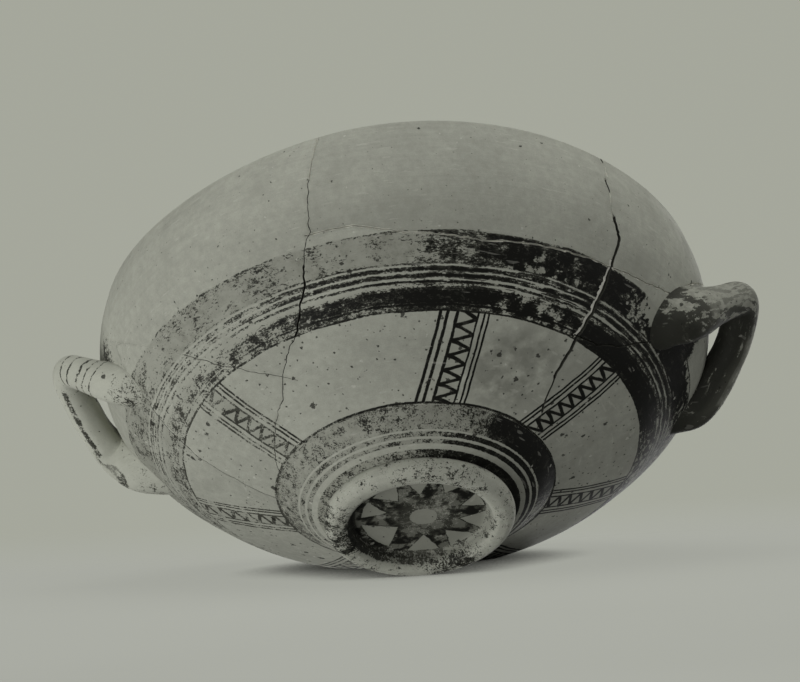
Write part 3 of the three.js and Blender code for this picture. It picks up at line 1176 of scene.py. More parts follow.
class ClayPainter(Finish):
    """A material with the patterns that all the painted clay shares.

    pitting scales the pits' size, as one number or from place to place.
    """

    def __init__(self, name: str) -> None:
        """Start a material that reads object coordinates in millimetres.

        Args:
            name: The material's name.
        """
        super().__init__(name)
        self.place = self.scaled(self.add("ShaderNodeTexCoord").outputs["Object"], 1 / MM)
        parts = self.add("ShaderNodeSeparateXYZ", None, {0: self.place})
        self.x, self.y, self.z = (self.number(parts.outputs[i]) for i in range(3))
        self.radius = self.math("SQRT", self.x * self.x + self.y * self.y)
        self.pitting = 1.0
        brushed = self.add("ShaderNodeCombineXYZ", None, {
            0: self.x / self.radius * 66.0, 1: self.y / self.radius * 66.0,
            2: self.radius + self.z * 0.6,
        })
        self.brushed = brushed.outputs[0]

    def grain(self, scale: float, detail: float = 3.0, rough: float = 0.5, shift: float = 0.0,
              stretch: tuple = (1.0, 1.0, 1.0), place: bpy.types.NodeSocket | None = None) -> Number:
        """Return noise about 0.5.

        Args:
            scale: Features in a millimetre.
            detail: How many finer layers are laid over the first.
            rough: How strong the finer layers are.
            shift: Moves the pattern, so that each use has its own.
            stretch: Scale along each axis.
            place: Where to read it, the object's own millimetres unless given.

        Returns:
            The noise.
        """
        spot = self.vector("MULTIPLY", place or self.place, stretch)
        spot = self.vector("ADD", spot, (shift, shift * 0.7, shift * 1.3))
        node = self.add("ShaderNodeTexNoise", {"noise_dimensions": "3D"}, {
            "Vector": spot, "Scale": scale, "Detail": detail, "Roughness": rough,
        })
        return self.number(node.outputs[0])

    def attribute(self, name: str) -> Number:
        """Return a number that the mesh stores."""
        node = self.add("ShaderNodeAttribute", {"attribute_type": "GEOMETRY", "attribute_name": name})
        return self.number(node.outputs["Fac"])

    def towards(self, azimuth: float) -> Number:
        """Tell one side of the bowl from the other.

        Args:
            azimuth: A direction in degrees.

        Returns:
            1 on the side that lies that way, falling evenly to 0 on the far side.
        """
        angle = math.radians(azimuth)
        cosine = (self.x * math.cos(angle) + self.y * math.sin(angle)) / self.radius
        return cosine * 0.5 + 0.5

    def near(self, *spots: tuple) -> Number:
        """Pick places out.

        Args:
            spots: x, y, z and reach of each place in millimetres.

        Returns:
            1 at each place, falling to 0 at its reach.
        """
        masks = []
        for *place, reach in spots:
            distance = self.number(self.vector("DISTANCE", self.place, tuple(place)))
            masks.append(distance.rise(0.0, reach, 1.0, 0.0))
        return reduce(Number.most, masks)

    def flaking(self, place: bpy.types.NodeSocket | None = None) -> Number:
        """Work out how easily the paint has come off.

        Args:
            place: Where to read the pattern, the object's own millimetres unless given.

        Returns:
            A number from 0 to 1: paint holds where its share is above it.
        """
        fine = self.grain(1.3, 4.0, 0.74, place=place)
        middle = self.grain(0.3, 3.0, 0.6, 11.0, place=place)
        broad = self.grain(0.055, 2.0, 0.5, 31.0)
        return (fine * 0.5 + middle * 0.32 + broad * 0.18).rise(0.375, 0.625)

    def specks(self, cell: float, size: float, shift: float) -> Number:
        """Return 1 in small uneven spots.

        Args:
            cell: Average distance between spots in millimetres.
            size: Largest radius of a spot in millimetres.
            shift: Moves the pattern.

        Returns:
            The mask of the spots.
        """
        place = self.vector("ADD", self.place, (shift, shift, shift))
        bend = self.grain(0.8 / size, 2.0, 0.6, shift)
        node = self.add("ShaderNodeTexVoronoi", {"feature": "F1"}, {"Vector": place, "Scale": 1 / cell})
        pick = self.add("ShaderNodeSeparateColor", None, {0: node.outputs["Color"]})
        reach = self.number(pick.outputs[1]) * self.pitting * (size / cell)
        spot = self.number(node.outputs["Distance"]) + (bend - 0.5) * (2.6 * size / cell)
        return (reach - spot).rise(0.0, 0.2 * size / cell)

    def colour(self, share: object, first: object, second: object) -> bpy.types.NodeSocket:
        """Mix two colours, all of the second where share is 1."""
        node = self.add("ShaderNodeMix", {"data_type": "RGBA"}, {0: share, 6: first, 7: second})
        return node.outputs[2]

    def finish(self, base: object, layer: Number, stained: Number, texture: "Weathering",
               broken: Number | None = None) -> bpy.types.Material:
        """Lay the paint over the clay, weather both and join them in the surface.

        Args:
            base: How light the clay is, 1 for the common tone.
            layer: How thick the paint is: none at 0 or below, solid from about 0.4.
            stained: How far the paint once covered the clay, from 0 to 1.
            texture: How pitted, chipped and uneven the surface is.
            broken: 0 on the skin, 1 on a dirty broken face and 2 on a fresh one.

        Returns:
            The finished material.
        """
        cloud = self.grain(0.024, 3.0, 0.55, 71.0)
        mottle = self.grain(0.3, 4.0, 0.62, 17.0)
        dust = self.grain(2.4, 3.0, 0.65, 5.0)
        turning = self.grain(0.8, 3.0, 0.6, 3.0, stretch=(0.03, 0.03, 1.0))
        pits = self.specks(2.7, 0.38, 11.0).most(self.specks(6.4, 0.85, 47.0))
        pits = pits.most(self.specks(13.0, 1.25, 29.0)) * texture.pits
        chips = self.specks(8.5, 0.8, 83.0) * texture.chips
        scratch = self.grain(0.5, 1.0, 0.5, 19.0, stretch=(0.22, 0.22, 1.9))
        chips = chips.most(scratch.rise(0.7, 0.73) * 0.35 * texture.chips)
        painted = layer.rise(0.0, 0.06)
        light = cloud.rise(0.3, 0.7, 0.9, 1.09) * mottle.rise(0.3, 0.7, 0.9, 1.07)
        light = light * dust.rise(0.25, 0.75, 0.9, 1.08) * turning.rise(0.3, 0.7, 0.965, 1.03)
        clay = self.scaled(CLAY.light, light * base)
        smudge = mottle.rise(0.33, 0.66, 0.1, 0.75) + dust.rise(0.4, 0.7, 0.0, 0.25)
        clay = self.colour(stained * smudge, clay, CLAY.stained)
        soot = self.grain(0.045, 4.0, 0.62, 37.0).rise(0.56, 0.74) * mottle.rise(0.35, 0.6, 0.4, 1.0)
        clay = self.colour(soot * texture.soot, clay, CLAY.stained)
        rubbed = self.grain(0.16, 4.0, 0.66, 23.0, place=self.brushed).rise(0.6, 0.76, 1.0, 0.5)
        paint = self.colour(layer.rise(0.0, 0.4) * rubbed, CLAY.thin_paint, CLAY.thick_paint)
        skin = self.colour(painted, clay, paint)
        skin = self.colour(pits * 0.85, skin, CLAY.dirt)
        skin = self.colour(chips * 0.55, skin, self.scaled(CLAY.fresh, dust.rise(0.3, 0.7, 0.7, 1.0)))
        relief = turning * 0.3 + mottle * 0.34 + dust * 0.17 + painted * 0.12 - pits * 0.9
        roughness = (painted * -0.12 + 0.76) + (dust - 0.5) * 0.22
        if broken is not None:
            crumbs = mottle.rise(0.35, 0.65, 0.5, 1.0)
            fresh = self.scaled(CLAY.fresh, mottle.rise(0.35, 0.65, 0.75, 1.05))
            grimy = self.colour(crumbs * 0.2, CLAY.dirt, CLAY.stained)
            open_face = self.colour(broken - 1.0, grimy, fresh)
            skin = self.colour(broken.least(1.0), skin, open_face)
        bump = self.add("ShaderNodeBump", None, {"Distance": texture.relief * MM, "Height": relief})
        return self.done(self.add("ShaderNodeBsdfPrincipled", None, {
            "Base Color": skin, "Roughness": roughness, "Normal": bump.outputs[0],
            "Specular IOR Level": 0.14,
        }))


@dataclass(frozen=True)
class Weathering:
    """How strongly pits, pale chips and soot show, and the relief in mm."""

    pits: float = 1.0
    chips: float = 1.0
    soot: float = 0.3
    relief: float = 0.26


@dataclass(frozen=True)
class LadderPanel:
    """A painted strip across the floor zone: three lines, a zigzag and three lines.

    azimuth is in degrees, half_width in mm, lean in mm sideways for each mm outwards. slide
    moves the inner lines sideways, step is the zigzag's period in mm, phase moves it, and wear
    is how much of the zigzag has gone.
    """

    azimuth: float
    half_width: float
    lean: float = 0.0
    slide: float = 0.0
    step: float = 6.2
    phase: float = 0.0
    wear: float = 0.0


PANELS = (
    LadderPanel(-75.9, 10.3, 0.115, 0.23, 6.1, 0.0, 0.0),
    LadderPanel(-30.2, 8.9, 0.126, 0.0, 5.0, 0.3, 0.0),
    LadderPanel(25.7, 9.1, 0.15, 0.0, 5.6, 0.6, 0.15),
    LadderPanel(68.0, 9.4, 0.04, 0.1, 6.0, 0.1, 0.1),
    LadderPanel(114.0, 9.3, -0.03, 0.0, 5.8, 0.45, 0.2),
    LadderPanel(160.0, 9.0, 0.02, 0.05, 6.0, 0.8, 0.25),
    LadderPanel(-148.5, 9.1, 0.01, 0.0, 5.6, 0.2, 0.5),
)


@dataclass(frozen=True)
class Ring:
    """A painted ring from one radius to another in mm, and the share of paint it keeps.

    The share goes from worn, on the left of the bowl, to kept, on the right, between the two
    places on a scale of 0 (azimuth 168) to 1 (azimuth -12).
    """

    start: float
    end: float
    worn: float
    kept: float
    turns: tuple = (0.15, 0.85)
    stain: float = 0.6
    soft: float = 0.3

    def masks(self, radius: Number, side: Number) -> tuple[Number, Number]:
        """Return the share of paint and the stain of this ring."""
        inside = radius.between(self.start, self.end, self.soft)
        return inside * side.rise(*self.turns, self.worn, self.kept), inside * self.stain


def rings_of(rings: tuple, radius: Number, side: Number) -> tuple[Number, Number]:
    """Add up several rings.

    Args:
        rings: The rings.
        radius: The distance from the axis in millimetres.
        side: The place between left, 0, and right, 1.

    Returns:
        The share of paint and the stain.
    """
    shares, stains = zip(*(ring.masks(radius, side) for ring in rings))
    return sum(shares[1:], shares[0]), sum(stains[1:], stains[0])


@dataclass(frozen=True)
class WallPaint:
    """The painted outside and plain inside of the wall, in millimetres.

    rings and fine_lines lie at radii from the axis, a fine line as (radius, width, share of
    paint kept). Each other place is x, y, z and reach.
    """

    rings: tuple = (
        Ring(50.0, 59.1, 0.44, 1.15, (0.86, 0.98), 0.85),
        Ring(97.2, 99.4, 0.34, 1.0, (0.1, 0.98), 0.35),
        Ring(99.2, 104.1, 0.44, 1.25, (0.15, 0.8), 0.5, 1.5),
        Ring(103.9, 105.8, 0.1, 0.62, (0.5, 0.85), 0.25),
        Ring(105.8, 106.45, 0.3, 1.05, (0.1, 0.75), 0.35),
        Ring(107.4, 108.45, 0.3, 1.05, (0.1, 0.75), 0.35),
        Ring(109.3, 110.35, 0.3, 1.05, (0.1, 0.75), 0.35),
        Ring(111.2, 120.3, 0.34, 1.12, (0.62, 0.82), 0.9, 0.7),
    )
    fine_lines: tuple = (
        (59.1, 0.8, 0.7), (97.05, 0.5, 0.7), (105.9, 0.3, 0.5), (107.5, 0.35, 0.56), (108.4, 0.3, 0.48),
        (109.4, 0.3, 0.52), (110.3, 0.35, 0.56), (111.5, 0.4, 0.46), (120.2, 0.3, 0.42),
    )
    zone: tuple = (59.0, 97.2)
    ladder_lines: tuple = (0.98, 0.76, 0.46)
    brush: float = 0.85
    zigzag_brush: float = 1.15
    rubbed: tuple = ((57.0, -88.0, 47.5, 30.0), (102.0, -58.0, 61.0, 22.0))
    dripping: tuple = (121.0, -4.0, 68.0, 26.0)
    clouded: tuple = (43.0, -65.0, 31.0, 26.0)
    bare: tuple = ((108.0, -54.0, 65.0, 15.0), (112.5, -52.0, 71.5, 13.0))
    right_roots: tuple = (
        (122.0, -30.0, 70.0, 17.0), (119.0, -24.0, 63.0, 12.0), (123.0, 28.0, 70.0, 15.0),
    )
    left_roots: tuple = (
        (-126.0, -29.0, 82.0, 12.0), (-121.0, -27.0, 68.0, 11.0), (-121.0, 36.0, 66.0, 13.0),
    )

    def material(self) -> bpy.types.Material:
        """Make the material that every sherd of the wall wears.

        Returns:
            The material.
        """
        tree = ClayPainter("painted wall clay")
        tree.pitting = tree.z.rise(52.0, 72.0, 1.4, 0.66)
        flutter = (tree.grain(0.05, 2.0, 0.5) - 0.5) * 1.3 + (tree.grain(0.6, 3.0, 0.6, 13.0) - 0.5) * 0.45
        ring = tree.radius + flutter + tree.towards(-10).rise(0.9, 1.0) * 1.3
        side = tree.towards(-12) + (tree.grain(0.07, 3.0, 0.6, 21.0) - 0.5) * 0.25
        flakes = tree.flaking(tree.brushed)
        outside = tree.attribute("depth").rise(0.12, 0.3, 1.0, 0.0)
        low = tree.z.rise(74.5, 75.5, 1.0, 0.0) * outside
        cloud = tree.near(self.clouded).rise(0.0, 0.5) * tree.grain(0.1, 3.0, 0.6, 87.0).rise(0.36, 0.58)
        cloud = cloud * outside
        broken = tree.attribute("broken")

        share, stain = rings_of(self.rings, ring, side)
        layer = self._bands(tree, ring, share) - flakes
        for middle, width, kept in self.fine_lines:
            line = abs(ring - middle).rise(width / 2 - 0.1, width / 2 + 0.15, 1.0, 0.0)
            layer = layer.most(line * (side.rise(0.2, 0.8, kept, kept + 0.25) - flakes))
        streaks = tree.grain(1.0, 2.0, 0.55, 63.0, stretch=(0.1, 0.1, 1.0), place=tree.brushed)
        streaks = streaks.rise(0.46, 0.56) * ring.between(103.5, 111.5, 0.8) * side.rise(0.55, 0.75)
        layer = layer.most((streaks * 0.9 - flakes).least(0.3))
        ladders, hollow = self._ladders(tree, flakes)
        layer = layer.most(ladders * (side.rise(0.1, 0.7, 0.7, 1.2) - flakes))
        layer = layer.least(side.rise(0.12, 0.5, 0.12, 1.6)).mix(-1.0, 1 - low)
        layer = layer.most(self._round_the_handles(tree) - flakes)
        patch_edge = (tree.grain(0.3, 3.0, 0.6, 43.0) - 0.5) * 0.9
        layer = layer - (tree.near(*self.bare) + patch_edge).rise(0.32, 0.5, 0.0, 2.0)
        layer = layer.mix(-1.0, broken.least(1.0)).mix(-1.0, 1 - outside)

        patchy = tree.grain(0.05, 3.0, 0.6, 39.0).rise(0.36, 0.6, 0.45, 1.1)
        stain = (stain * patchy + hollow * 0.4).least(1.0) * low
        grime = tree.attribute("seam").rise(0.2, 1.5, 0.8, 0.0)
        stain = stain.most(grime * tree.grain(0.3, 3.0, 0.6, 77.0).rise(0.42, 0.62)).most(cloud * 0.8)
        worn_right = tree.towards(-15).rise(0.86, 1.0, 0.0, 0.5)
        stain = stain.most(worn_right * tree.grain(0.09, 4.0, 0.6, 97.0).rise(0.5, 0.66)) * outside
        base = tree.attribute("tone") * (1 - cloud * 0.3)
        return tree.finish(base, layer, stain, Weathering(), broken)

    def _bands(self, tree: ClayPainter, ring: Number, share: Number) -> Number:
        """Wear the painted rings where the bowl was rubbed and scraped.

        Args:
            tree: The wall's material.
            ring: The distance from the axis, as the brush wavered.
            share: The share of paint in the rings.

        Returns:
            The share that is left.
        """
        rubbed = tree.near(*self.rubbed).rise(0.0, 0.6)
        share = share - rubbed * tree.grain(0.22, 3.0, 0.6, 93.0).rise(0.44, 0.6, 0.0, 0.85)
        drips = tree.near(self.dripping) * (tree.grain(0.5, 1.0, 0.5, 51.0) - 0.3)
        share = share * (ring + drips * 9.0).rise(120.2, 120.8, 1.0, 0.0)
        scraped = tree.grain(0.5, 3.0, 0.6, 9.0, place=tree.brushed).rise(0.42, 0.6)
        return share - tree.towards(22).rise(0.96, 1.0) * scraped * 1.1

    def _ladders(self, tree: ClayPainter, flakes: Number) -> tuple[Number, Number]:
        """Paint the ladder panels across the floor zone.

        Args:
            tree: The wall's material.
            flakes: How easily the paint has come off.

        Returns:
            The masks of the brush strokes and of the zigzag strips.
        """
        best = tree.x * 0.0 + 1000.0
        details = dict.fromkeys(("half_width", "slide", "step", "phase", "wear"), best)
        wander = (tree.grain(0.13, 2.0, 0.5, 57.0) - 0.5) * 0.9
        shake = (tree.grain(0.9, 2.0, 0.5, 67.0) - 0.5) * 0.5
        for panel in PANELS:
            angle = math.radians(panel.azimuth)
            forward = tree.x * math.cos(angle) + tree.y * math.sin(angle)
            across = tree.y * math.cos(angle) - tree.x * math.sin(angle)
            across = across - (tree.radius - 78.0) * panel.lean
            closer = (abs(across) + forward.below(0.0) * 1000.0).below(abs(best))
            best = best.mix(across, closer)
            for name, value in details.items():
                details[name] = value.mix(getattr(panel, name), closer)
        width = details["half_width"]
        side = (best + wander) / width
        side = side - (1 - abs(side)) * details["slide"]
        reach = abs(side)
        half_brush = self.brush / 2
        lines = reach * 0.0
        inner_line = self.ladder_lines[-1]
        for place in self.ladder_lines:
            gap = abs(reach - place) * width + shake * 0.5
            lines = lines.most(gap.rise(half_brush - 0.15, half_brush + 0.15, 1.0, 0.0))
        step = tree.radius / details["step"] + details["phase"] + wander * 0.2
        wave = tree.math("PINGPONG", step, 0.5) * (4 * inner_line) - inner_line
        slope = width * (4 * inner_line) / details["step"]
        slant = tree.math("SQRT", slope * slope + 1)
        gap = abs(side - wave) * width / slant + shake * 0.4
        half_brush = self.zigzag_brush / 2
        strokes = gap.rise(half_brush - 0.2, half_brush + 0.2, 1.0, 0.0) * reach.below(inner_line + 0.03)
        strokes = strokes * (1 - details["wear"] * flakes.rise(0.2, 0.5))
        zone = tree.radius.between(*self.zone, 0.4)
        return lines.most(strokes) * zone, reach.below(inner_line) * zone

    def _round_the_handles(self, tree: ClayPainter) -> Number:
        """Return the paint that runs on round the roots of the handles."""
        right = tree.near(*self.right_roots).rise(0.0, 0.45, 0.0, 1.05)
        return right.most(tree.near(*self.left_roots).rise(0.0, 0.9, 0.0, 0.72))


@dataclass(frozen=True)
class Wedge:
    """A light wedge of the star under the foot: azimuth and half width in degrees, tip in mm."""

    azimuth: float
    half_width: float
    tip: float


@dataclass(frozen=True)
class FootPaint:
    """The rings round the foot and the star in its recess. Radii in millimetres."""

    rings: tuple = (
        Ring(38.0, 42.5, 0.44, 1.05, (0.62, 0.95), 0.75),
        Ring(44.8, 46.6, 0.42, 1.05, (0.66, 0.96), 0.75),
        Ring(47.6, 49.6, 0.45, 1.1, (0.66, 0.96), 0.75),
        Ring(50.3, 60.0, 0.44, 1.15, (0.86, 0.98), 0.85),
    )
    star_centre: tuple = (1.5, 0.9)
    star_radius: float = 26.6
    button_radius: float = 5.6
    wedges: tuple = (
        Wedge(-92, 11.5, 16.2), Wedge(-59, 11.3, 18.0), Wedge(-19, 11.8, 16.3),
        Wedge(15, 14.7, 15.0), Wedge(53, 14.6, 14.3), Wedge(92.5, 15.5, 13.2),
        Wedge(150, 24.5, 12.5), Wedge(-162, 14.0, 15.5), Wedge(-127, 15.2, 15.9),
    )

    def material(self) -> bpy.types.Material:
        """Make the foot's material.

        Returns:
            The material.
        """
        tree = ClayPainter("painted foot clay")
        ring = tree.radius + (tree.grain(0.6, 3.0, 0.6, 13.0) - 0.5) * 0.5
        side = tree.towards(-20) + (tree.grain(0.09, 3.0, 0.6, 21.0) - 0.5) * 0.25
        flakes = tree.flaking()
        stem = tree.z.rise(8.3, 8.8)
        share, stain = rings_of(self.rings, ring, side)
        layer = (share * stem - flakes).most(self._star(tree, flakes))
        layer = layer.most(self._rim_dirt(tree) - flakes).mix(-1.0, tree.z.rise(21.75, 21.85))
        under = tree.z.rise(8.0, 8.4, 1.0, 0.0)
        recess = under * tree.radius.rise(29.5, 31.0, 1.0, 0.0)
        rubbed = under * tree.radius.rise(30.0, 32.0)
        stain = (stain * stem + recess * 0.62).least(1.0)
        base = rubbed * 0.12 + 1.0 - recess * 0.14
        return tree.finish(base, layer, stain, Weathering(relief=0.3))

    def _rim_dirt(self, tree: ClayPainter) -> Number:
        """Speckle the standing ring.

        Args:
            tree: The foot's material.

        Returns:
            The share of paint left there.
        """
        ring = tree.radius.between(29.0, 41.0, 2.0) * tree.z.rise(8.0, 9.0, 1.0, 0.0)
        patchy = tree.grain(0.09, 3.0, 0.6, 33.0).rise(0.46, 0.64, 0.24, 0.48)
        left = tree.towards(170).rise(0.9, 1.0, 0.0, 0.3) + tree.towards(60).rise(0.8, 1.0, 0.0, 0.14)
        return ring * (patchy + left)

    def _star(self, tree: ClayPainter, flakes: Number) -> Number:
        """Paint the recess all but the wedges and the button.

        Args:
            tree: The foot's material.
            flakes: How easily the paint has come off.

        Returns:
            How thick the paint is.
        """
        bend = tree.grain(0.2, 2.0, 0.5, 59.0) - 0.5
        x = tree.x - self.star_centre[0] + bend * 1.2
        y = tree.y - self.star_centre[1] - bend * 1.2
        radius = tree.math("SQRT", x * x + y * y)
        light = radius.rise(self.button_radius - 0.3, self.button_radius + 0.3, 1.0, 0.0)
        outline = abs(radius - self.star_radius).rise(0.2, 0.5, 1.0, 0.0)
        for wedge in self.wedges:
            angle = math.radians(wedge.azimuth)
            forward = x * math.cos(angle) + y * math.sin(angle)
            across = abs(y * math.cos(angle) - x * math.sin(angle))
            half_base = self.star_radius * math.sin(math.radians(wedge.half_width))
            run = self.star_radius * math.cos(math.radians(wedge.half_width)) - wedge.tip
            inside = (forward - wedge.tip) * (half_base / run) - across
            light = light.most(inside.rise(-0.2, 0.3))
            edge = abs(inside).rise(0.2, 0.6, 1.0, 0.0) * forward.rise(wedge.tip - 1, wedge.tip)
            outline = outline.most(edge)
        disc = radius.rise(self.star_radius - 0.7, self.star_radius - 0.3, 1.0, 0.0)
        light = light * disc
        floor = tree.radius.rise(30.3, 31.3, 1.0, 0.0) * tree.z.rise(8.0, 8.4, 1.0, 0.0)
        blots = tree.grain(0.15, 3.0, 0.6, 91.0).rise(0.47, 0.6) * radius.rise(9.0, 19.0, 0.25, 1.0)
        slope = tree.radius.rise(27.0, 28.5)
        kept = (radius.rise(7.0, 22.0, 0.6, 0.76) + blots * 0.5).mix(
            tree.towards(185).rise(0.3, 1.0, 0.42, 0.95), slope)
        thickest = (blots * 0.6 + 0.04).mix(tree.towards(185).rise(0.5, 1.0, 0.06, 0.34), slope)
        rays = ((1 - light) * kept * floor - flakes).least(thickest)
        return rays.most((outline * disc * floor * 0.8 - flakes).least(0.25))


@dataclass(frozen=True)
class HandlePaint:
    """A handle's clay and paint.

    strokes are (place along the rod from 0 to 1, half width) pairs. lit and shaded are the
    shares of paint on the outer and upper faces and on the inner and lower ones, and
    thickest_lit is how thick the paint on the outer and upper faces gets: the sparser, thinner
    paint up and out and the fuller, thicker paint down and in are painted light and shade.
    stained is how far lost paint has left its stain, and brushed is how far the paint is worn
    along the rod.
    The last field is the stretch of the rod whose outer side has only thin paint left: on the dark handle
    this thin grey paint is a painted sheen, on the pale handle it is worn paint.
    """

    name: str
    strokes: tuple
    lit: float
    shaded: float
    roots: float
    outer_strip: float
    thickest_lit: float
    stained: float
    brushed: float
    tone: float
    sheen_and_wear_arm: tuple

    def material(self) -> bpy.types.Material:
        """Make the material of one handle.

        Returns:
            The material.
        """
        tree = ClayPainter(self.name)
        run, out, low = (tree.attribute(name) for name in ("run", "out", "low"))
        rolled = tree.add("ShaderNodeCombineXYZ", None, {0: run * 24.0, 1: out * 7.8, 2: low * 7.8})
        streaks = tree.grain(0.5, 4.0, 0.66, 47.0, place=rolled.outputs[0]).rise(0.36, 0.64)
        flakes = tree.flaking().mix(streaks, self.brushed)
        patchy = (tree.grain(0.09, 3.0, 0.6, 27.0) - 0.5) * 1.1
        # The facing term paints light and shade: faces turned up and out get less and thinner paint and show
        # lighter, faces turned down and in get more and thicker, darker paint. patchy adds uneven wear.
        facing = out * 0.85 - low * 0.8 + patchy
        share = facing.rise(-0.7, 0.25, self.shaded, self.lit)
        flutter = (tree.grain(0.12, 3.0, 0.55, 41.0) - 0.5) * 0.03
        for place, width in self.strokes:
            stroke = abs(run + flutter - place).rise(width * 0.3, width * 0.8, 0.56, 0.0)
            share = share.most(stroke)
        strip = out.between(0.16, 0.56, 0.16) * run.between(0.4, 0.74, 0.06)
        rim = out.between(0.5, 0.68, 0.08) * run.rise(0.66, 0.74)
        share = share.most(strip.most(rim) * self.outer_strip)
        ends = run.rise(0.1, 0.2, 1.0, 0.0).most(run.rise(0.82, 0.9))
        # The root ends keep their dark paint, and their lower sides get more of it as painted shade.
        share = share.most(ends * (patchy + low * 0.5 + 0.4) * self.roots)
        stain = (share.least(1.0).most(0.0) * 0.6).most(self.stained)
        # Thin paint on the rod's outer side: a painted sheen on the dark handle, worn paint on the pale one.
        worn = out.rise(0.0, 0.5, 0.0, 0.8) * run.between(*self.sheen_and_wear_arm, 0.06)
        thickest = facing.rise(-0.5, 0.3, 0.26, self.thickest_lit) * (1 - worn)
        layer = (share - flakes).least(thickest.most(ends * 0.2))
        return tree.finish(self.tone, layer, stain, Weathering(chips=0.6, relief=0.3))


@dataclass(frozen=True)
class Lamp:
    """A soft square light: the way to it in the camera's frame, and its power in watts."""

    name: str
    towards: tuple
    power: float


